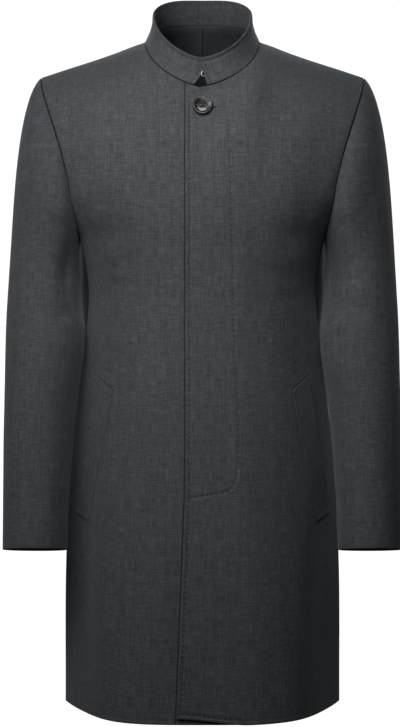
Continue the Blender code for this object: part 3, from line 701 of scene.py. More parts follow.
def sleeve_columns(loop):
    """One column of sleeve points for each armhole point, from the seam to the cuff."""
    rings = np.linspace(SLEEVE_TOP_RING, SLEEVE_CUFF_RING, SLEEVE_ROWS + 1)
    columns = []
    for turn, seam in loop:
        angle = math.radians(turn)
        start = seam + np.array((SLEEVE_START, 0.0, 0.0))
        end = sleeve_point(rings[0], turn)
        down = unit(sleeve_point(rings[0] - SLEEVE_TOP_STEP, turn) - end)
        outer = (1 + math.cos(angle)) / 2
        spread = CAP_SPREAD[0] + (CAP_SPREAD[1] - CAP_SPREAD[0]) * outer
        fall = CAP_FALL[0] + (CAP_FALL[1] - CAP_FALL[0]) * outer
        direction = unit((spread, -CAP_TURN * math.sin(angle), -fall))
        second = CAP_HANDLE * np.linalg.norm(end - start)
        first = min(CAP_REACH, second)
        cap = bezier(start, start + direction * first, end - down * second, end, CAP_ROWS)
        columns.append(cap + [sleeve_point(z, turn) for z in rings[1:]])
    return np.array(columns).transpose(1, 0, 2)


def ring_normals(net):
    """Outward normals of a net whose columns go all the way round."""
    around = np.roll(net, -1, axis=1) - np.roll(net, 1, axis=1)
    down = np.gradient(net, axis=0)
    normals = units(np.cross(down, around))
    centre = net.mean(axis=1, keepdims=True)
    if (normals[-1] * (net - centre)[-1]).sum() < 0:
        normals = -normals
    return normals


def sleeve_nets(nets):
    """The upper and under pieces of the left sleeve: points, normals, flat places and turns."""
    loop = armhole_loop(nets)
    turns = np.array([turn for turn, _ in loop])
    whole = sleeve_columns(loop)
    normals = ring_normals(whole)
    normals[0, :, 0] = np.minimum(normals[0, :, 0], 0.0)
    normals[0] = units(normals[0])
    flat, girths = sleeve_flat(whole)
    pieces = {}
    for name in ("top", "under"):
        picked = seam_columns(turns, name)
        net = whole[:, picked].copy()
        pull_in(net, "left", SHELL_GAP / 2)
        pull_in(net, "right", SHELL_GAP / 2)
        places = flat[:, picked].copy()
        if name == "top":
            places[..., 0] -= np.where(turns[picked] >= BACK_SEAM_ANGLE, girths[:, None], 0.0)
        pieces[name] = (net, normals[:, picked].copy(), places, turns[picked])
    return pieces


def seam_columns(turns, part):
    """Which columns of the whole sleeve the upper or the under piece has."""
    front = int(np.argmin(abs(turns - FRONT_SEAM_ANGLE)))
    back = int(np.argmin(abs(turns - BACK_SEAM_ANGLE)))
    if part == "under":
        return np.arange(front, back + 1)
    return np.arange(back, len(turns) + front + 1) % len(turns)


def sleeve_flat(whole):
    """Where each point of the sleeve lies on the flat cloth and each row's girth, in mm."""
    closed = np.concatenate((whole, whole[:, :1]), axis=1)
    around = lengths_along(closed, 1)
    around[:CAP_ROWS] = around[CAP_ROWS]
    girths, around = around[:, -1], around[:, :-1]
    down = lengths_along(whole)
    down -= down[-1]
    return np.stack((around, down), axis=2), girths


def collar_angles():
    right_seam = neck_angle(COLLAR_RIGHT_END[0])
    left_seam = neck_angle(COLLAR_LEFT_END[0])
    front_angles = np.linspace(left_seam, 90.0, NECK_COLUMNS + 1)
    back_angles = np.linspace(90.0, 270.0, 2 * BACK_NECK_COLUMNS + 1)[1:]
    right_angles = np.linspace(270.0, 360.0 + right_seam, NECK_COLUMNS + 1)[1:]
    return np.concatenate((front_angles, back_angles, right_angles)), left_seam, right_seam


def collar_net():
    """Outer points and normals of the collar band, from its left end round the back."""
    angles, left_seam, right_seam = collar_angles()
    top_half_width = NECK_HALF_WIDTH * (1 - COLLAR_TAPER)
    left_skew, right_skew = (
        math.degrees(math.asin(end[1] / top_half_width)) - seam
        for end, seam in ((COLLAR_LEFT_END, left_seam), (COLLAR_RIGHT_END, right_seam))
    )
    rows = []
    for share in np.linspace(0.0, 1.0, COLLAR_ROW_COUNT + 1):
        row = []
        for angle in angles:
            skew = left_skew * (1 - ramp(angle, left_seam, COLLAR_SKEW_ANGLE))
            skew += right_skew * ramp(angle, 360.0 - COLLAR_SKEW_ANGLE, 360.0 + right_seam)
            row.append(collar_point(angle + skew * share, share))
        rows.append(row)
    net = np.array(rows)
    normals = net_normals(net, 1.0)
    if normals[2, len(angles) // 2, 1] < 0:
        normals = -normals
    normals[0, :, 2] = 0.0
    normals[0] = units(normals[0])
    lap = np.array([COLLAR_LAP * lap_share(x, 0.0) if a <= 90.0 else 0.0
                    for a, x in zip(angles, net[0, :, 0])])
    return net + normals * lap[None, :, None], normals


def collar_point(angle, share):
    base = neck_point(angle)
    scale = 1 - COLLAR_TAPER * (1 - (1 - share) ** COLLAR_FLARE)
    tall = COLLAR_HEIGHT_MEAN + COLLAR_HEIGHT_SWING * math.cos(math.radians(angle))
    rise = SEAM_GAP + tall * share
    return np.array((base[0] * scale, MID_Y + (base[1] - MID_Y) * scale, base[2] + rise))


# ---------------------------------------------------------------- flat places, folds and stitches

def body_flat(net):
    """Where each point of a front or a back lies on the flat cloth, in mm."""
    across = lengths_along(net, 1)
    middle = np.argmin(abs(net[..., 0]), axis=1)
    rows = np.arange(len(net))
    across -= across[rows, middle][:, None]
    across += net[rows, middle, 0][:, None]
    chest = ROWS_ABOVE_CHEST
    x, order = net[chest, :, 0], np.argsort(net[chest, :, 0])
    for row in range(chest):
        level = np.interp(net[row, :, 0], x[order], across[chest][order])
        beyond = net[row, :, 0] - np.clip(net[row, :, 0], x.min(), x.max())
        across[row] = level + FLAT_BEYOND * beyond
    spans = np.linalg.norm(np.diff(net, axis=0), axis=2)
    least = FLAT_LEAST_DROP * spans
    drops = np.sqrt(np.maximum(spans**2 - np.diff(across, axis=0) ** 2, least**2))
    down = np.concatenate((np.zeros((1, net.shape[1])), np.cumsum(drops, axis=0)))
    down -= down[chest]
    return np.stack((across, down), axis=2)


def fold_field(folds, across, up):
    """How far soft folds move the cloth out, in mm, at places given by two arrays."""
    field = np.zeros_like(across)
    for x0, z0, x1, z1, bow, width, depth in folds:
        start, way = np.array((x0, z0)), np.array((x1 - x0, z1 - z0))
        length = np.linalg.norm(way)
        way = way / length
        t = ((across - start[0]) * way[0] + (up - start[1]) * way[1]) / length
        off = (across - start[0]) * -way[1] + (up - start[1]) * way[0]
        off = off - bow * 4 * t * (1 - t)
        ends = ramp(t, 0.0, FOLD_ENDS[0]) * (1 - ramp(t, FOLD_ENDS[1], 1.0))
        spread = width * (FOLD_SPREAD[0] + FOLD_SPREAD[1] * np.clip(t, 0, 1))
        trough = np.exp(-((off / spread) ** 2))
        banks = np.exp(-(((abs(off) - BANK_OFF * spread) / spread) ** 2))
        field += depth * ends * (trough - BANK_RISE * banks)
    return field


def body_folds(net, folds):
    """Folds of a front or a back, gone at the side seam and along the upper seams."""
    field = fold_field(folds, net[..., 0], net[..., 2])
    rows, columns = field.shape
    from_side = np.linspace(1.0, 0.0, columns)[None, :]
    from_top = np.linspace(0.0, 1.0, rows)[:, None]
    return field * ramp(from_side, 0.0, FOLD_SIDE_FADE) * ramp(from_top, 0.0, FOLD_TOP_FADE)


def fly_field(net):
    """The left front's own relief: the fly's strip and the hidden buttons under it."""
    x, z = net[..., 0], net[..., 2]
    strip = np.array([read(FLY_PROFILE, 1, value) for value in x.ravel()]).reshape(x.shape)
    field = strip * (1 - ramp(z, FLY_TOP - FLY_TOP_FADE, FLY_TOP + FLY_TOP_FADE))
    field *= ramp(z, FLY_END - FLY_END_FADE, FLY_END)
    for number in range(1, HIDDEN_BUTTON_COUNT + 1):
        centre = BUTTON_AT[1] - HIDDEN_BUTTON_PITCH * number
        away = np.hypot(x - HIDDEN_BUTTON_X, z - centre)
        field += HIDDEN_BUTTON_RISE * np.exp(-((away / HIDDEN_BUTTON_RADIUS) ** 2))
    return field


def line_places(points, across, up):
    """Signed distance from a route and the length along it, at places given by two arrays."""
    points = np.array(points, float)
    ways = np.diff(points, axis=0)
    lengths = np.linalg.norm(ways, axis=1)
    starts = np.concatenate(([0.0], np.cumsum(lengths)))
    best = np.full(across.shape, 1e9)
    off_line = np.full(across.shape, FAR_OFF)
    along = np.zeros(across.shape)
    for number, (start, way, length) in enumerate(zip(points, ways, lengths)):
        way = way / length
        t = (across - start[0]) * way[0] + (up - start[1]) * way[1]
        off = (across - start[0]) * -way[1] + (up - start[1]) * way[0]
        low = -LINE_OVERRUN if number == 0 else 0.0
        high = length + LINE_OVERRUN if number == len(ways) - 1 else length
        beyond = t - np.clip(t, low, high)
        away = np.hypot(off, beyond)
        nearer = away < best
        best = np.where(nearer, away, best)
        off_line = np.where(nearer, np.sign(off + 1e-9) * away, off_line)
        along = np.where(nearer, starts[number] + t, along)
    within = (along > -LINE_END) & (along < starts[-1] + LINE_END)
    return np.where(within, off_line, FAR_OFF), along


def smooth_route(points, count):
    """More points on a smooth curve through a route's own points."""
    points = np.array(points, float)
    lengths = lengths_along(points)
    spots = np.linspace(0.0, lengths[-1], count)
    table = [(length, *point) for length, point in zip(lengths, points)]
    return np.array([(read(table, 1, spot), read(table, 2, spot)) for spot in spots])


# ---------------------------------------------------------------- meshes

def add_edge_lines(data, axis):
    """Lines close to both edges of a net, so that its edges can be rounded."""
    data = np.moveaxis(data, axis, 0)
    parts = []
    for edge, inner in ((data[0], data[1]), (data[-1], data[-2])):
        step = inner - edge
        length = np.linalg.norm(step[:, :3], axis=1)[:, None]
        lines = [edge + step * np.minimum(s / length, EDGE_SHARE * s / EDGE_STEPS[-1])
                 for s in EDGE_STEPS]
        parts.append(lines)
    whole = [data[0], *parts[0], *data[1:-1], *parts[1][::-1], data[-1]]
    return np.moveaxis(np.array(whole), 0, axis)


def edge_drop(rows, columns, radius):
    """How far the outer face falls away towards the edges."""
    drops = []
    near = (0.0, *EDGE_STEPS)
    for count in (rows, columns):
        from_edge = np.full(count, FAR_OFF)
        from_edge[:len(near)] = near
        from_edge[-len(near):] = near[::-1]
        inside = np.clip(radius - from_edge, 0.0, radius)
        drops.append(radius - np.sqrt(radius**2 - inside**2))
    return np.maximum(drops[0][:, None], drops[1][None, :])


def edge_places(net, seams, free_corner, faint):
    """How far each point lies from the nearest sewn edge and from the nearest free edge, in mm."""
    sewn = np.full(net.shape[:2], FAR_OFF)
    free = np.full(net.shape[:2], FAR_OFF)
    for axis, names in ((0, ("top", "bottom")), (1, ("left", "right"))):
        along = lengths_along(net, axis)
        whole = np.take(along, [-1], axis=axis)
        for name, away in zip(names, (along, whole - along)):
            if name in seams:
                away = away + FAR_OFF * (free_corner if name == "top" else 0.0)
                away = away + (FAINT_SEAM if name in faint else 0.0)
                sewn = np.minimum(sewn, away)
            else:
                free = np.minimum(free, away)
    return np.stack((sewn, free, np.zeros_like(free)), axis=2)


def shell(name, net, normals, wall, flat, materials, seams, stitches=(), dark_lines=(),
          radius=EDGE_RADIUS, lined=None, free_corner=None, inside_lines=FAR_OFF, faint=()):
    """A cloth wall with rounded edges; its points carry their places for the material.

    lined is the level above which the inner face is lining and how far the facing reaches.
    """
    blank = np.full(net.shape[:2], FAR_OFF)
    places = []
    for number in range(STITCH_LINES):
        off, along = stitches[number] if number < len(stitches) else (blank, blank)
        places.append(np.stack((off, along, blank), axis=2))
    # painted shadow lines, filled up with blank ones
    darks = list(dark_lines) + [blank] * (SHADOW_LINE_COUNT - len(dark_lines))
    places.append(np.stack(darks, axis=2))
    corner = np.zeros(net.shape[:2]) if free_corner is None else free_corner
    data = np.concatenate((net, normals, flat, *places, corner[..., None]), axis=2)
    data = add_edge_lines(add_edge_lines(data, 0), 1)
    net, normals = data[..., :3], data[..., 3:6]
    normals = units(normals)
    edges = edge_places(net, seams, data[..., -1], faint)
    rows, columns = net.shape[:2]
    drop = edge_drop(rows, columns, radius)[..., None]
    outer = net - normals * drop
    inner = net - normals * (wall - INNER_DROP * drop)
    points = np.concatenate((outer.reshape(-1, 3), inner.reshape(-1, 3))) * MM
    index = np.arange(rows * columns).reshape(rows, columns)
    a, b, c, d = index[:-1, :-1], index[:-1, 1:], index[1:, 1:], index[1:, :-1]
    far = rows * columns
    front_faces = np.stack((a, b, c, d), axis=2).reshape(-1, 4)
    back_faces = np.stack((a, d, c, b), axis=2).reshape(-1, 4) + far
    rim = np.concatenate((index[0, :-1], index[:-1, -1], index[-1, :0:-1], index[:0:-1, 0]))
    following = np.roll(rim, -1)
    rim_faces = np.stack((rim, rim + far, following + far, following), axis=1)
    faces = np.concatenate((front_faces, back_faces, rim_faces))
    mesh = bpy.data.meshes.new(name)
    mesh.from_pydata(points.tolist(), [], faces.tolist())
    for material in materials:
        mesh.materials.append(material)
    if lined is not None:
        inside = np.zeros(len(faces), int)
        level, facing = lined
        from_edge = np.abs(net[:-1, :-1, 0] - net[:-1, :1, 0])
        cells = (from_edge > facing) & (net[:-1, :-1, 2] > level)
        inside[len(front_faces):len(front_faces) + len(back_faces)] = cells.reshape(-1)
        mesh.polygons.foreach_set("material_index", inside)
    write_places(mesh, "cloth_place", np.concatenate((data[..., 6:8], edges[..., 2:]), axis=2))
    for number in range(STITCH_LINES):
        at = 8 + 3 * number
        write_places(mesh, f"stitch_{number + 1}", data[..., at:at + 3], inside=FAR_OFF)
    at = 8 + 3 * STITCH_LINES
    # the painted shadow lines, the strong ones and the faint ones
    write_places(mesh, "dark_lines", data[..., at:at + 3], inside=inside_lines)
    write_places(mesh, "faint_shadow_lines", data[..., at + 3:at + 6], inside=FAR_OFF)
    write_places(mesh, "edge_place", edges)
    work = bmesh.new()
    work.from_mesh(mesh)
    bmesh.ops.recalc_face_normals(work, faces=work.faces)
    if work.calc_volume(signed=True) < 0:
        bmesh.ops.reverse_faces(work, faces=work.faces)
    work.to_mesh(mesh)
    work.free()
    mesh.shade_smooth()
    return link_piece(name, mesh)


def write_places(mesh, name, places, inside=None):
    """Three values for each point of both faces, as a point attribute."""
    outer = places.reshape(-1, 3)
    inner = outer if inside is None else np.full_like(outer, inside)
    both = np.concatenate((outer, inner)).astype(np.float32)
    attribute = mesh.attributes.new(name, "FLOAT_VECTOR", "POINT")
    attribute.data.foreach_set("vector", both.ravel())


def link_piece(name, data, place=(0.0, 0.0, 0.0), turn=(0.0, 0.0, 0.0)):
    """Put a mesh, a camera or a lamp into the scene."""
    piece = bpy.data.objects.new(name, data)
    piece.location = place
    piece.rotation_euler = turn
    bpy.context.scene.collection.objects.link(piece)
    return piece


def sew(node, net, normals, wall, flat, rests_on, tape=None, slot="coat_cloth", **form):
    """Make a cloth shell, with its places on the flat cloth, in place of the frame's solid, which it
    hides.
    """
    piece = shell(f"{node}_cloth", net, normals, wall, flat, **form)
    if tape is not None:
        add_seam_tape(piece, net, normals, *tape)
    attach(piece, "root")
    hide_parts(node)
    return piece


# ---------------------------------------------------------------- materials

class Nodes:
    """Short ways to build one material's nodes."""

    def __init__(self, name):
        self.material = bpy.data.materials.new(name)
        self.material.use_nodes = True
        self.tree = self.material.node_tree
        self.shader = self.tree.nodes["Principled BSDF"]

    def new(self, kind, **values):
        node = self.tree.nodes.new(kind)
        for key, value in values.items():
            setattr(node, key, value)
        return node

    def link(self, source, target):
        self.tree.links.new(source, target)

    def put(self, socket, value):
        if isinstance(value, bpy.types.NodeSocket):
            self.link(value, socket)
        else:
            socket.default_value = value

    def math(self, operation, *values):
        node = self.new("ShaderNodeMath", operation=operation)
        for socket, value in zip(node.inputs, values):
            self.put(socket, value)
        return node.outputs[0]

    def split(self, vector):
        node = self.new("ShaderNodeSeparateXYZ")
        self.link(vector, node.inputs[0])
        return tuple(node.outputs)

    def place(self, name):
        """The three values of a point attribute."""
        return self.split(self.new("ShaderNodeAttribute", attribute_name=name).outputs["Vector"])

    def hump(self, off, reach):
        """1 on a line, falling to 0 at a distance from it."""
        share = self.math("POWER", self.math("DIVIDE", self.math("ABSOLUTE", off), reach), 2.0)
        return self.math("MAXIMUM", self.math("SUBTRACT", 1.0, share), 0.0)

    def noise(self, across, up, detail=1.0):
        """Noise between 0 and 1 over two coordinates."""
        join = self.new("ShaderNodeCombineXYZ")
        self.put(join.inputs[0], across)
        self.put(join.inputs[1], up)
        texture = self.new("ShaderNodeTexNoise")
        self.link(join.outputs[0], texture.inputs["Vector"])
        texture.inputs["Scale"].default_value = 1.0
        texture.inputs["Detail"].default_value = detail
        return texture.outputs["Fac"]

    def stretch(self, value, low, high, to_low=0.0, to_high=1.0):
        node = self.new("ShaderNodeMapRange")
        self.put(node.inputs["Value"], value)
        for key, number in (("From Min", low), ("From Max", high), ("To Min", to_low),
                            ("To Max", to_high)):
            node.inputs[key].default_value = number
        return node.outputs[0]

    def mix(self, share, first, second):
        node = self.new("ShaderNodeMix", data_type="RGBA")
        self.put(node.inputs["Factor"], share)
        self.put(node.inputs[6], first)
        self.put(node.inputs[7], second)
        return node.outputs[2]

    def bump(self, height, distance, strength=1.0):
        node = self.new("ShaderNodeBump")
        node.inputs["Strength"].default_value = strength
        node.inputs["Distance"].default_value = distance
        self.link(height, node.inputs["Height"])
        self.link(node.outputs[0], self.shader.inputs["Normal"])

    def finish(self, values):
        """Put values on the shader's sockets and give the material."""
        for name, value in values.items():
            self.put(self.shader.inputs[name], value)
        return self.material


def yarns(nodes, across, up, pitch, run):
    """Long thin streaks: a yarn's pitch across and the length that its tone runs, in mm."""
    return nodes.noise(nodes.math("DIVIDE", across, pitch), nodes.math("DIVIDE", up, run))


def stitch_dimples(nodes, name):
    """The dimples of the pick stitches along a line, and the soft valley that they draw."""
    off, along, _ = nodes.place(name)
    phase = nodes.math("SUBTRACT", nodes.math("FRACT", nodes.math("DIVIDE", along, STITCH_PITCH)), 0.5)
    across, length = (
        nodes.math("POWER", nodes.math("DIVIDE", nodes.math("ABSOLUTE", value), reach), 2.0)
        for value, reach in ((off, DIMPLE_REACH), (phase, DIMPLE_LENGTH))
    )
    away = nodes.math("ADD", across, length)
    dimple = nodes.math("MAXIMUM", nodes.math("SUBTRACT", 1.0, away), 0.0)
    return dimple, nodes.hump(off, VALLEY_REACH)


def wool_material():
    """Charcoal wool in a fine cross weave, uneven in tone, with pick-stitch dimples and painted shade
    along its seams and painted shadow lines.
    """
    nodes = Nodes("coat_wool")
    across, up, _ = nodes.place("cloth_place")
    tone = 0.0
    for lies_up, pitch, run, contrast, weight in WOOL_YARNS:
        ways = (across, up) if lies_up else (up, across)
        streaks = yarns(nodes, *ways, pitch, run)
        streaks = nodes.stretch(streaks, 0.5 - contrast, 0.5 + contrast, -1.0, 1.0)
        tone = nodes.math("MULTIPLY_ADD", streaks, weight, tone)
    colour = nodes.mix(nodes.stretch(tone, 0.0, TONE_REACH), WOOL_MID, WOOL_LIGHT)
    colour = nodes.mix(nodes.stretch(tone, 0.0, -TONE_REACH), colour, WOOL_DARK)
    dimples, valleys = stitch_dimples(nodes, "stitch_1")
    for name in ("stitch_2", "stitch_3"):
        dimple, valley = stitch_dimples(nodes, name)
        dimples = nodes.math("MAXIMUM", dimples, dimple)
        valleys = nodes.math("MAXIMUM", valleys, valley)
    # pick-stitch dimples darkened towards the thread's grey: the thread's own colour and painted shade
    # in the dimple
    colour = nodes.mix(nodes.math("MULTIPLY", dimples, DIMPLE_THREAD_AND_SHADE), colour, THREAD_GREY)
    sewn, free, _ = nodes.place("edge_place")
    # painted shade along the sewn seams and along the painted shadow lines
    darks = nodes.math("MULTIPLY", nodes.hump(sewn, SEAM_SHADE_REACH), SEAM_SHADE_WEIGHT)
    lines = nodes.place("dark_lines") + nodes.place("faint_shadow_lines")
    for off, weight in zip(lines, SHADOW_LINE_WEIGHTS):
        line = nodes.math("MULTIPLY", nodes.hump(off, SHADOW_LINE_REACH), weight)
        darks = nodes.math("MAXIMUM", darks, line)
    colour = nodes.mix(darks, colour, PAINTED_SHADE)
    ribs = nodes.math("MULTIPLY", *(
        nodes.math("SINE", nodes.math("MULTIPLY", place, 2 * PI / RIB_PITCH)) for place in (across, up)
    ))
    roll = nodes.hump(nodes.math("SUBTRACT", free, ROLL_INSET), ROLL_REACH)
    height = nodes.math("MULTIPLY", tone, WOOL_RELIEF["tone"])
    for name, source in (("ribs", ribs), ("dimples", dimples), ("valleys", valleys), ("roll", roll),
                         ("darks", darks)):
        height = nodes.math("MULTIPLY_ADD", source, WOOL_RELIEF[name], height)
    nodes.bump(height, 0.35 * MM, 0.8)
    return nodes.finish({
        "Base Color": colour,
        "Roughness": nodes.stretch(tone, -0.5, 0.5, 0.80, 0.92),
        "Specular IOR Level": 0.25,
        "Sheen Weight": 0.22,
        "Sheen Roughness": 0.45,
        "Sheen Tint": (0.80, 0.86, 0.92, 1.0),
    })


def lining_material():
    """Smooth dark lining: a fine twill with a soft gloss, and painted shade along its seams and its
    pleat.
    """
    nodes = Nodes("coat_lining")
    across, up, _ = nodes.place("cloth_place")
    warp = yarns(nodes, across, up, 1.6, 60.0)
    cloud = nodes.noise(nodes.math("DIVIDE", across, 28.0), nodes.math("DIVIDE", up, 40.0), 2.0)
    tone = nodes.math("MULTIPLY_ADD", warp, 0.6, nodes.math("MULTIPLY", cloud, 0.4))
    colour = nodes.mix(nodes.stretch(tone, 0.3, 0.7), LINING_DARK, LINING_LIGHT)
    # painted shade along the lining's seams and its pleat line
    seam = nodes.hump(nodes.place("edge_place")[0], LINING_SEAM_SHADE_REACH)
    fold = nodes.math("MULTIPLY", nodes.hump(nodes.place("dark_lines")[0], PLEAT_SHADE_REACH), PLEAT_SHADE_WEIGHT)
    darks = nodes.math("MULTIPLY", nodes.math("MAXIMUM", seam, fold), SEAM_SHADE_WEIGHT)
    twill = nodes.math("SINE", nodes.math("MULTIPLY", nodes.math("ADD", across, up), 2 * PI / 0.8))
    nodes.bump(nodes.math("MULTIPLY_ADD", twill, 0.2, tone), 0.15 * MM, 0.5)
    return nodes.finish({
        "Base Color": nodes.mix(darks, colour, PAINTED_SHADE),
        "Roughness": nodes.stretch(tone, 0.3, 0.7, 0.42, 0.56),
        "Specular IOR Level": 0.4,
    })


def marked_material(name, scales, detail, colours, spread, rough, bump=None, more=()):
    """A plain material that fine marks, a noise over x and z, vary in colour, gloss and relief.

    rough is one value, or the two that the marks lead between.
    """
    nodes = Nodes(name)
    x, _, z = nodes.split(nodes.new("ShaderNodeNewGeometry").outputs["Position"])
    marks = nodes.noise(nodes.math("MULTIPLY", x, scales[0]), nodes.math("MULTIPLY", z, scales[1]),
                        detail)
    if bump is not None:
        nodes.bump(marks, *bump)
    return nodes.finish({
        "Base Color": nodes.mix(nodes.stretch(marks, *spread), *colours),
        "Roughness": nodes.stretch(marks, 0.3, 0.7, *rough) if len(rough) == 2 else rough[0],
        **dict(more),
    })


def thread_material():
    """Dark twisted sewing thread."""
    return marked_material("coat_thread", (1600.0, 1600.0), 2.0, (THREAD_GREY, WOOL_DARK),
                           (0.3, 0.7), (0.6,), bump=(0.1 * MM, 0.5))


def button_material():
    """Polished black resin with faint swirls."""
    return marked_material("coat_button", (160.0, 420.0), 3.0, (BUTTON_BLACK, BUTTON_SWIRL),
                           (0.35, 0.75), (0.14, 0.24), bump=(0.06 * MM, 0.4),
                           more={"Coat Weight": 0.3, "Coat Roughness": 0.08})


def hook_material():
    """Bright steel wire with fine drawing marks."""
    return marked_material("coat_hook", (2200.0, 500.0), 2.0, (HOOK_STEEL, HOOK_MARK),
                           (0.0, 1.0), (0.34, 0.48), more={"Metallic": 0.85})


# ---------------------------------------------------------------- the coat's pieces

def make_fronts(nets, wool, lining):
    pieces = {}
    for node in ("front_left", "front_right"):
        net, normals = nets[node]
        net = soften_corner(net, normals, CORNER_COLUMNS + NECK_COLUMNS)
        moved = body_folds(net, FRONT_FOLDS)
        if node == "front_left":
            moved = moved + fly_field(net)
        flat = body_flat(net if node == "front_left" else mirrored(net))
        net = net + normals * moved[..., None]
        lines = front_stitch_lines(net) if node == "front_left" else []
        # painted shadow lines round the pocket welts
        darks = welt_shadow_lines(net, 1.0 if node == "front_left" else -1.0)
        if node == "front_right":
            # painted shadow that the left front's edge casts on the right front, just beside it
            beside = [(at - SHADOW_INSET, level) for level, at in LEFT_EDGE]
            darks.append(line_places(beside, net[..., 0], net[..., 2])[0])
        corner = np.zeros(net.shape[:2])
        corner[:, :CORNER_COLUMNS] = 1.0
        pieces[node] = sew(node, net, normals, BODY_WALL, flat, ["collar_cloth"],
                           materials=(wool, lining), seams=("top", "right"), stitches=lines,
                           dark_lines=darks, free_corner=corner,
                           lined=(HEM_LEVEL + HEM_TURN, FACING_WIDTH))
    return pieces


def front_stitch_lines(net):
    """Distances from the left front's rows of stitches and lengths along them, row by row."""
    x, z = net[..., 0], net[..., 2]
    edge = np.linalg.norm(net - net[:, :1], axis=2) - STITCH_INSET
    near = (np.abs(edge) < EDGE_ROW_REACH) & (np.abs(z - z[:, :1]) < EDGE_ROW_SLANT)
    near &= (z < EDGE_ROW_TOP) & (z > HEM_LEVEL + EDGE_ROW_RISE)
    top = net[0, :, 2][None, :] - z - TOP_STITCH_DROP
    hem = z - net[-1, :, 2][None, :] - HEM_STITCH_RISE
    upper = (x < TOP_ROW_END) & (x > LEFT_EDGE[0][1] + TOP_ROW_START) & (z > TOP_ROW_LOW)
    lower = (z < HEM_ROW_HIGH) & (x < HEM_ROW_END)
    ends = np.where(upper, top, np.where(lower, hem, FAR_OFF))
    fly = line_places(smooth_route(FLY_LINE, FLY_POINTS), x, z)
    return [(np.where(near, edge, FAR_OFF), -z), (ends, x + RUN_START), fly]


def welt_shadow_lines(net, sense):
    """Signed distances from the painted shadow lines round a pocket welt: mouth, top, foot, and inner
    seam.
    """
    x, z = net[..., 0] * sense, net[..., 2]
    top_outer, top_inner, low_outer, low_inner = (
        np.array(c) for c in (WELT_TOP_OUTER, WELT_TOP_INNER, WELT_LOW_OUTER, WELT_LOW_INNER)
    )
    side = unit(low_outer - top_outer)
    out = np.array((-side[1], side[0])) * SHADOW_INSET * WELT_SHADOW_SHARE
    up = -side * SHADOW_INSET * WELT_SHADOW_SHARE
    mouth = [top_outer + side * WELT_MOUTH + out, top_outer + out + up]
    top = [top_outer + out + up, top_inner + up - out]
    foot = [low_outer - up + out, low_inner - up - out]
    seam = [top_inner - out, top_inner - out + side * WELT_SEAM_SHOWN]
    return [line_places(route, x, z)[0] for route in (mouth, top, foot, seam)]


def make_backs(nets, wool, lining):
    for node in ("back_left", "back_right"):
        net, normals = nets[node]
        net = soften_corner(net, normals, BACK_NECK_COLUMNS)
        moved = body_folds(net, BACK_FOLDS)
        flat = body_flat(net if node == "back_left" else mirrored(net))
        net = net + normals * moved[..., None]
        net[:, 0, 0] = np.sign(net[0, -1, 0]) * SHELL_GAP / 2
        sew(node, net, normals, BODY_WALL, flat, ["collar_cloth"], materials=(wool, lining),
            seams=("top", "left", "right"), lined=(HEM_LEVEL + HEM_TURN, NO_FACING))


def make_sleeves(nets, wool, lining):
    for part, (net, normals, flat, turns) in sleeve_nets(nets).items():
        around = round_sleeve(turns)[None, :] * np.ones(net.shape[:2])
        for side, sense in (("left", 1.0), ("right", -1.0)):
            folds = [(round_sleeve(t0), z0 + SLEEVE_FOLD_SHIFTS[0] * sense, round_sleeve(t1),
                      z1 + SLEEVE_FOLD_SHIFTS[1] * sense, bow * sense, width, depth)
                     for t0, z0, t1, z1, bow, width, depth in SLEEVE_FOLDS]
            moved = fold_field(folds, around, net[..., 2])
            columns = np.linspace(0.0, 1.0, net.shape[1])[None, :]
            rows = np.linspace(0.0, 1.0, net.shape[0])[:, None]
            for share, fade in ((columns, SLEEVE_SEAM_FADE), (1 - columns, SLEEVE_SEAM_FADE),
                                (rows, SLEEVE_CAP_FADE), (1 - rows, SLEEVE_CUFF_FADE)):
                moved = moved * ramp(share, 0.0, fade)
            if part == "under":
                moved = np.minimum(moved, 0.0) + under_bulge(around, net[..., 2])
            shape = net + normals * moved[..., None]
            ways = normals
            if side == "right":
                shape, ways = mirrored(shape), mirrored(ways)
            turned = net[-1, :, 2].max() + HEM_TURN
            sew(f"sleeve_{side}_{part}", shape, ways, SLEEVE_WALL, flat,
                [f"front_{side}_cloth", f"back_{side}_cloth"], tape=(nets, part, side),
                materials=(wool, lining), seams=("top", "left", "right"), radius=SLEEVE_RADIUS,
                dark_lines=cuff_shade_lines(shape), lined=(turned, NO_FACING), faint=("left", "right"))


def round_sleeve(turn):
    """How far round the sleeve a turn is, in mm."""
    return turn / 360.0 * SLEEVE_GIRTH


def under_bulge(around, height):
    """Cloth of the under sleeve that fills out towards the body's side, in mm."""
    field = np.zeros_like(around)
    for turn, level, width, tall, rise in UNDER_BULGES:
        off = (around - round_sleeve(turn)) / width
        field += rise * np.exp(-(off**2) - ((height - level) / tall) ** 2)
    return field


def cuff_shade_lines(net):
    """No strong painted shadow lines but a faint one: painted shade in the crease a little above the
    cuff's edge.
    """
    along = lengths_along(net)
    blank = np.full(net.shape[:2], FAR_OFF)
    return [blank, blank, blank, along[-1][None, :] - along - CUFF_CREASE]


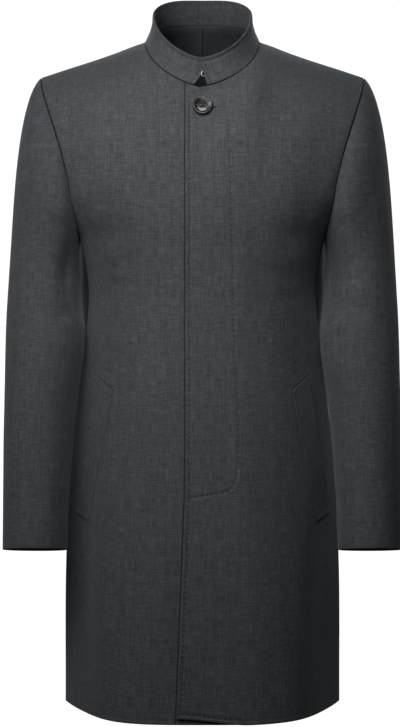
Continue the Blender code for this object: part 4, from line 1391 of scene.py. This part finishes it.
def add_seam_tape(piece, net, normals, nets, part, side):
    """A strip inside the armhole seam, joined to the sleeve, that closes the seam to light."""
    sense = 1.0 if side == "left" else -1.0
    loop = armhole_loop(nets)
    turns = np.array([turn for turn, _ in loop])
    front, back = nets["front_left"], nets["back_left"]
    rows = np.arange(ROWS_TO_PIT + 1)
    body_rows = np.concatenate((rows, rows[-2:0:-1]))
    mirror = np.array((sense, 1.0, 1.0))
    deep = BODY_WALL + TAPE_CLEAR
    points = []
    for column, number in enumerate(seam_columns(turns, part)):
        body = front if number <= ROWS_TO_PIT else back
        row = body_rows[number]
        seam = loop[number][1]
        inward = unit(body[0][row, -2] - body[0][row, -1])
        body_way = body[1][row, -1]
        sleeve_way = normals[0, column] * mirror
        onward = unit(net[2, column] * mirror - net[0, column] * mirror)
        between = (body_way + sleeve_way) / 2
        body_side = seam + inward * TAPE_REACH - body_way * deep
        middle = seam - between * (deep + TAPE_CLEAR)
        sleeve_side = seam + onward * TAPE_REACH - sleeve_way * (SLEEVE_WALL + TAPE_CLEAR)
        points.append((body_side, middle, sleeve_side, sleeve_side - sleeve_way * TAPE_WALL,
                       middle - between * TAPE_WALL, body_side - body_way * TAPE_WALL))
    points = np.array(points) * mirror * MM
    work = bmesh.new()
    work.from_mesh(piece.data)
    verts = [[work.verts.new(place) for place in line] for line in points]
    for line, following in zip(verts, verts[1:]):
        for k in range(len(line)):
            onto = (k + 1) % len(line)
            work.faces.new((line[k], line[onto], following[onto], following[k]))
    work.faces.new(verts[0][::-1])
    work.faces.new(verts[-1])
    work.to_mesh(piece.data)
    work.free()


def make_collar(wool):
    net, normals = collar_net()
    along, up = band_places(net)
    along = along * np.ones(up.shape)
    flat = np.stack((along, up), axis=2)
    top = up[-1][None, :] - up - COLLAR_STITCH_DROP
    lines = [(top, along)]
    from_left = np.linalg.norm(net - net[:, :1], axis=2) - COLLAR_END_INSET
    from_right = np.linalg.norm(net - net[:, -1:], axis=2) - COLLAR_END_INSET
    ends = np.where(along < along.max() / 2, from_left, from_right)
    lines.append((np.where(up[-1][None, :] - up > COLLAR_END_ROW[1], ends, FAR_OFF), up))
    sew("collar", net, normals, COLLAR_WALL, flat, ["back_left_cloth"], materials=(wool,),
        seams=("top",), stitches=lines, radius=COLLAR_RADIUS)


def surface_of(piece):
    """A tree for asking where a line from straight ahead meets a piece."""
    work = bmesh.new()
    work.from_mesh(piece.data)
    tree = BVHTree.FromBMesh(work)
    work.free()
    return tree


def landing(tree, x, height):
    """Where a line from straight ahead meets a surface: the place and its normal, in mm."""
    place, normal, _, _ = tree.ray_cast(Vector((x * MM, -1.0, height * MM)), Vector((0, 1, 0)))
    return np.array(place) / MM, np.array(normal)


def make_welts(fronts, wool):
    for side, sense in (("left", 1.0), ("right", -1.0)):
        tree = surface_of(fronts[f"front_{side}"])
        corners = [np.array(c) for c in (WELT_TOP_INNER, WELT_TOP_OUTER, WELT_LOW_INNER,
                                         WELT_LOW_OUTER)]
        near = np.zeros((WELT_ROWS + 1, WELT_COLUMNS + 1, 3))
        normals = np.zeros_like(near)
        flat = np.zeros((WELT_ROWS + 1, WELT_COLUMNS + 1, 2))
        for row in range(WELT_ROWS + 1):
            down = row / WELT_ROWS
            inner = corners[0] + (corners[2] - corners[0]) * down
            outer = corners[1] + (corners[3] - corners[1]) * down
            for column in range(WELT_COLUMNS + 1):
                x, height = inner + (outer - inner) * column / WELT_COLUMNS
                near[row, column], normals[row, column] = landing(tree, sense * x, height)
                flat[row, column] = (WELT_FLAT_START + WELT_FLAT[0] * column / WELT_COLUMNS,
                                     WELT_FLAT[1] * down)
        smooth = units(normals.mean(axis=0, keepdims=True) + WELT_FOLLOW * normals)
        across = np.linspace(0.0, 1.0, WELT_COLUMNS + 1)[None, :]
        down = np.linspace(0.0, 1.0, WELT_ROWS + 1)[:, None]
        stand = WELT_STAND * across**WELT_STAND_CURVE
        stand = stand * ramp(down, 0.0, WELT_STAND_ENDS[0]) * ramp(1 - down, 0.0, WELT_STAND_ENDS[1])
        top = near + smooth * (WELT_SHELL + WELT_BASE + stand)[..., None]
        sew(f"pocket_welt_{side}", top, smooth, WELT_SHELL, flat, [f"front_{side}_cloth"],
            materials=(wool,), seams=(), radius=WELT_RADIUS)


def make_lining(nets, lining):
    """The upper back lining that shows in the neck, with its pleat line at the middle."""
    columns = BACK_NECK_COLUMNS + SHOULDER_COLUMNS * 3 // 8 + 1
    net, normals = (side[:LINING_ROWS, :columns] for side in nets["back_left"])
    net = np.concatenate((mirrored(net[:, :0:-1]), net), axis=1)
    normals = np.concatenate((mirrored(normals[:, :0:-1]), normals), axis=1)
    middle = net.shape[1] // 2
    net[:, middle, 0] = 0.0
    pleat = np.exp(-((net[..., 0] / PLEAT_WIDTH) ** 2)) * PLEAT_DEPTH
    sunk = LINING_SUNK * np.exp(-np.arange(len(net)) / LINING_SUNK_ROWS)[:, None]
    net = net - normals * (BODY_WALL + SEAM_GAP + pleat + sunk)[..., None]
    collar_ways = np.array([(0.0, 1.0, 0.0)] * net.shape[1])
    inside = np.abs(net[0, :, 0]) < NECK_HALF_WIDTH - LINING_SIDE
    rise = np.where(inside, LINING_RISE, LINING_SIDE_RISE)
    head = np.stack((net[0, :, 0] * LINING_HEAD_SHARE, net[0, :, 1] - LINING_HEAD_FORWARD,
                     net[0, :, 2] + rise), axis=1)
    net = np.concatenate((head[None], net))
    normals = np.concatenate((collar_ways[None], normals))
    across, down = band_places(net)
    flat = np.stack((across * np.ones(down.shape), down), axis=2)
    # its painted shadow line is the pleat at the middle
    sew("back_neck_lining", net, normals, LINING_WALL, flat, ["collar_cloth"], slot="lining",
        materials=(lining,), seams=("top", "bottom", "left", "right"), inside_lines=None,
        dark_lines=[net[..., 0]], radius=LINING_RADIUS)


def capsule(work, middle, way, length, radius):
    """A short thread with round ends, lying along a surface, sizes in mm."""
    way = Vector(way).normalized()
    turn = way.to_track_quat("Z", "Y").to_matrix().to_4x4()
    start = (Vector(middle) - way * (length / 2 - radius)) * MM
    shape = bmesh.ops.create_uvsphere(work, u_segments=8, v_segments=6, radius=radius * MM)
    for vert in shape["verts"]:
        if vert.co.z > 1e-9:
            vert.co.z += (length - 2 * radius) * MM
    bmesh.ops.transform(work, matrix=Matrix.Translation(start) @ turn, verts=shape["verts"])


def mesh_piece(name, work, material):
    mesh = bpy.data.meshes.new(name)
    work.to_mesh(mesh)
    work.free()
    mesh.materials.append(material)
    mesh.shade_smooth()
    return link_piece(name, mesh)


def stitch_run(work, spots, tree):
    """Pick stitches where lines from straight ahead meet a surface, each along its run."""
    spots = np.array(spots)
    for number, spot in enumerate(spots):
        before, after = spots[max(number - 1, 0)], spots[min(number + 1, len(spots) - 1)]
        way = unit(after - before)
        ends = [landing(tree, *(spot + way * STITCH_LENGTH / 2 * sense)) for sense in (-1, 1)]
        middle = (ends[0][0] + ends[1][0]) / 2 - ends[0][1] * STITCH_SUNK
        capsule(work, middle, ends[1][0] - ends[0][0], STITCH_LENGTH, STITCH_RADIUS)


def pitched(start, end):
    """Middles of the stitches between two lengths along a run."""
    first = math.ceil(start / STITCH_PITCH - 0.5)
    return (np.arange(first, int(end / STITCH_PITCH - 0.5) + 1) + 0.5) * STITCH_PITCH


def make_front_stitches(tree, net, thread):
    """Threads of the front edge, the top edge, the hem's corner, and the fly."""
    work = bmesh.new()
    heights = -pitched(EDGE_THREADS[0], -HEM_LEVEL - EDGE_THREADS[1])
    edge = [(read_straight(LEFT_EDGE, z) + STITCH_INSET, z) for z in heights]
    stitch_run(work, edge, tree)
    for row, start, end, rise in THREAD_ROWS:
        xs = pitched(start + RUN_START, end + RUN_START) - RUN_START
        levels = np.interp(xs, net[row, :, 0], net[row, :, 2]) + rise
        stitch_run(work, np.stack((xs, levels), axis=1), tree)
    route = smooth_route(FLY_LINE, FLY_POINTS)
    lengths = lengths_along(route)
    spots = pitched(0.0, lengths[-1])
    fly = [(np.interp(s, lengths, route[:, 0]), np.interp(s, lengths, route[:, 1])) for s in spots]
    stitch_run(work, fly, tree)
    finish_threads("front_stitches", work, thread)


def make_collar_stitches(net, normals, thread):
    """Threads of the row under the collar's top edge and of the rows along its ends."""
    work = bmesh.new()
    along, up = band_places(net)
    for middle in pitched(COLLAR_END_INSET, along[-1] - COLLAR_END_INSET):
        ends = []
        for length in (middle - STITCH_LENGTH / 2, middle + STITCH_LENGTH / 2):
            column = min(int(np.searchsorted(along, length)), len(along) - 1)
            share = (length - along[column - 1]) / (along[column] - along[column - 1])
            pair = []
            for c in (column - 1, column):
                level = up[-1, c] - COLLAR_STITCH_DROP
                pair.append([np.array([np.interp(level, up[:, c], data[:, c, k]) for k in range(3)])
                             for data in (net, normals)])
            ends.append([pair[0][k] * (1 - share) + pair[1][k] * share for k in range(2)])
        middle_at = (ends[0][0] + ends[1][0]) / 2 - ends[0][1] * STITCH_SUNK
        capsule(work, middle_at, ends[1][0] - ends[0][0], STITCH_LENGTH, STITCH_RADIUS)
    for first, second in ((0, 1), (-1, -2)):
        inward = unit(net[0, second] - net[0, first])
        for level in pitched(COLLAR_END_ROW[0], up[-1, first] - COLLAR_END_ROW[1]):
            low, high = (np.array([np.interp(z, up[:, first], net[:, first, k]) for k in range(3)])
                         for z in (level - STITCH_LENGTH / 2, level + STITCH_LENGTH / 2))
            normal = normals[len(normals) // 2, first]
            middle_at = (low + high) / 2 + inward * COLLAR_END_INSET - normal * STITCH_SUNK
            capsule(work, middle_at, high - low, STITCH_LENGTH, STITCH_RADIUS)
    finish_threads("collar_stitches", work, thread)


def finish_threads(name, work, thread):
    piece = mesh_piece(name, work, thread)
    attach(piece, "root")


def make_button(tree, horn, thread):
    """The coat button: raised rim, dished middle, four holes and the crossed thread in them."""
    place, normal = landing(tree, *BUTTON_AT)
    seat = Matrix.Translation(Vector(place + normal * BUTTON_CLEAR) * MM)
    seat = seat @ Vector(normal).to_track_quat("Z", "Y").to_matrix().to_4x4()
    radii = np.linspace(0.0, BUTTON_PROFILE[-1][0], BUTTON_RINGS)
    heights = [read(BUTTON_PROFILE, 1, r) for r in radii]
    holes = [(BUTTON_HOLE_SPREAD * math.cos(a), BUTTON_HOLE_SPREAD * math.sin(a))
             for a in (PI / 4 + k * PI / 2 for k in range(4))]
    work = bmesh.new()
    rings = []
    for radius, height in zip(radii[1:], heights[1:]):
        ring = []
        for k in range(BUTTON_SIDES):
            angle = 2 * PI * k / BUTTON_SIDES
            x, y = radius * math.cos(angle), radius * math.sin(angle)
            away = min(math.hypot(x - hx, y - hy) for hx, hy in holes)
            sink = BUTTON_HOLE_DEPTH * (1 - ramp(away, BUTTON_HOLE_RADIUS - BUTTON_HOLE_EDGE[0],
                                                 BUTTON_HOLE_RADIUS + BUTTON_HOLE_EDGE[1]))
            ring.append(work.verts.new((x * MM, y * MM, (height - sink) * MM)))
        rings.append(ring)
    back = [work.verts.new((v.co.x * BUTTON_BACK_SHARE, v.co.y * BUTTON_BACK_SHARE, 0.0))
            for v in rings[-1]]
    rings.append(back)
    top = work.verts.new((0.0, 0.0, heights[0] * MM))
    for k in range(BUTTON_SIDES):
        onto = (k + 1) % BUTTON_SIDES
        work.faces.new((top, rings[0][k], rings[0][onto]))
        for inner, outer in zip(rings, rings[1:]):
            work.faces.new((inner[k], outer[k], outer[onto], inner[onto]))
    work.faces.new(back[::-1])
    bmesh.ops.transform(work, matrix=seat, verts=work.verts)
    button = mesh_piece("coat_button", work, horn)
    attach(button, "root")
    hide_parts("button")
    work = bmesh.new()
    for start, end in ((0, 2), (1, 3)):
        one, two = Vector((*holes[start], 0.0)), Vector((*holes[end], 0.0))
        way = two - one
        height = heights[0] + BUTTON_THREAD_RISE + BUTTON_THREAD_CROSS * start
        for side in (-BUTTON_THREAD_OFF, BUTTON_THREAD_OFF):
            across = Vector((-way.y, way.x, 0.0)).normalized() * side
            middle = (one + two) / 2 + across + Vector((0.0, 0.0, height))
            capsule(work, middle, way, way.length + BUTTON_THREAD_PAST, BUTTON_THREAD_RADIUS)
    bmesh.ops.transform(work, matrix=seat, verts=work.verts)
    finish_threads("button_thread", work, thread)


def make_buttonhole(tree, thread):
    """The end of the worked buttonhole that shows beside the button."""
    threads = []
    for x in np.arange(BUTTONHOLE_END - BUTTONHOLE_SHOWN, BUTTONHOLE_END, BUTTONHOLE_PITCH):
        for side in (-BUTTONHOLE_HALF_WIDTH, BUTTONHOLE_HALF_WIDTH):
            threads.append((x, BUTTONHOLE_LEVEL + side, (BUTTONHOLE_LEAN, 0.0, 1.0)))
    for angle in BUTTONHOLE_END_TURNS:
        across, up = math.cos(math.radians(angle)), math.sin(math.radians(angle))
        threads.append((BUTTONHOLE_END + BUTTONHOLE_END_RADIUS * across,
                        BUTTONHOLE_LEVEL + BUTTONHOLE_END_RADIUS * up, (across, 0.0, up)))
    work = bmesh.new()
    for x, height, way in threads:
        place, normal = landing(tree, x, height)
        capsule(work, place + normal * BUTTONHOLE_THREAD_RISE, way, BUTTONHOLE_THREAD,
                BUTTON_THREAD_RADIUS)
    finish_threads("buttonhole_threads", work, thread)


def main():
    wool = wool_material()
    lining = lining_material()
    nets = torso_nets()
    thread = thread_material()
    fronts = make_fronts(nets, wool, lining)
    make_backs(nets, wool, lining)
    make_sleeves(nets, wool, lining)
    make_collar(wool)
    make_welts(fronts, wool)
    make_lining(nets, lining)
    tree = surface_of(fronts["front_left"])
    make_front_stitches(tree, nets["front_left"][0], thread)
    make_collar_stitches(*collar_net(), thread)
    make_button(tree, button_material(), thread)
    make_buttonhole(tree, thread)
    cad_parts["collar_hook"].data.materials[0] = hook_material()


# ---------------------------------------------------------------- camera, light and floor

CAMERA_AT = (-0.0035, -2.4, -0.4515)
FRAME_HEIGHT = 1.0178            # what the frame's height covers at the origin's depth
FLOOR_LEVEL = -1.30
FLOOR_RADIUS = 1.45
FLOOR_GLOW = 0.5
SENSOR = 36.0
SKY_SEEN_STRENGTH = 1.1
SKY_LIGHT_STRENGTH = 0.028
LAMPS = (
    # name, size, power in W, place, aim, spread in degrees
    ("key", (0.8, 0.6), 6.2, (-0.62, -0.98, 0.62), (0.03, 0.0, -0.25), 180.0),
    ("side", (0.8, 0.6), 1.15, (-0.95, -0.80, 0.50), (0.0, 0.0, -0.35), 180.0),
    ("front", (0.6, 0.6), 2.05, (-0.15, -0.85, -0.10), (0.0, 0.0, -0.66), 180.0),
    ("top", (0.5, 0.3), 0.05, (0.08, -0.40, 0.85), (0.06, -0.14, -0.15), 60.0),
    ("chest", (0.4, 0.2), 0.11, (0.04, -0.75, 0.75), (0.025, -0.12, -0.20), 26.0),
    ("far_side", (0.8, 0.8), 3.5, (1.3, 1.4, 0.2), (0.0, 0.0, -0.40), 180.0),
    ("back_left", (1.0, 1.0), 19.0, (0.45, 2.1, 0.8), (0.0, 0.0, -0.40), 180.0),
    ("back_right", (1.0, 1.0), 19.0, (-0.45, 2.1, 0.8), (0.0, 0.0, -0.40), 180.0),
)


def add_light(name, size, power, place, aim, spread):
    data = bpy.data.lights.new(name, "AREA")
    data.shape = "RECTANGLE"
    data.size, data.size_y = size
    data.energy = power
    data.spread = math.radians(spread)
    turn = (Vector(aim) - Vector(place)).to_track_quat("-Z", "Y").to_euler()
    link_piece(name, data, place, turn)


def make_studio():
    data = bpy.data.cameras.new("camera")
    data.sensor_width = SENSOR
    data.lens = SENSOR * -CAMERA_AT[1] / FRAME_HEIGHT
    bpy.context.scene.camera = link_piece("camera", data, CAMERA_AT, (PI / 2, 0.0, 0.0))

    work = bmesh.new()
    bmesh.ops.create_circle(work, cap_ends=True, radius=FLOOR_RADIUS, segments=96)
    mesh = bpy.data.meshes.new("floor")
    work.to_mesh(mesh)
    work.free()
    mesh.materials.append(Nodes("floor_pale").finish({
        "Base Color": FLOOR_PALE,
        "Roughness": 0.9,
        "Emission Color": FLOOR_PALE,
        "Emission Strength": FLOOR_GLOW,
    }))
    floor = link_piece("floor", mesh, (0.0, 0.0, FLOOR_LEVEL))
    floor.visible_diffuse = False
    floor.visible_glossy = False

    world = bpy.data.worlds.new("studio")
    world.use_nodes = True
    bpy.context.scene.world = world
    tree = world.node_tree
    seen = tree.nodes.new("ShaderNodeBackground")
    fill = tree.nodes["Background"]
    for sky, colour, strength in ((seen, SKY_SEEN, SKY_SEEN_STRENGTH),
                                  (fill, SKY_LIGHT, SKY_LIGHT_STRENGTH)):
        sky.inputs["Color"].default_value = colour
        sky.inputs["Strength"].default_value = strength
    paths = tree.nodes.new("ShaderNodeLightPath")
    blend = tree.nodes.new("ShaderNodeMixShader")
    tree.links.new(paths.outputs["Is Camera Ray"], blend.inputs[0])
    tree.links.new(fill.outputs[0], blend.inputs[1])
    tree.links.new(seen.outputs[0], blend.inputs[2])
    tree.links.new(blend.outputs[0], tree.nodes["World Output"].inputs[0])

    for lamp in LAMPS:
        add_light(*lamp)
    bpy.context.scene.view_settings.view_transform = "Standard"


main()
make_studio()
bpy.context.view_layer.update()
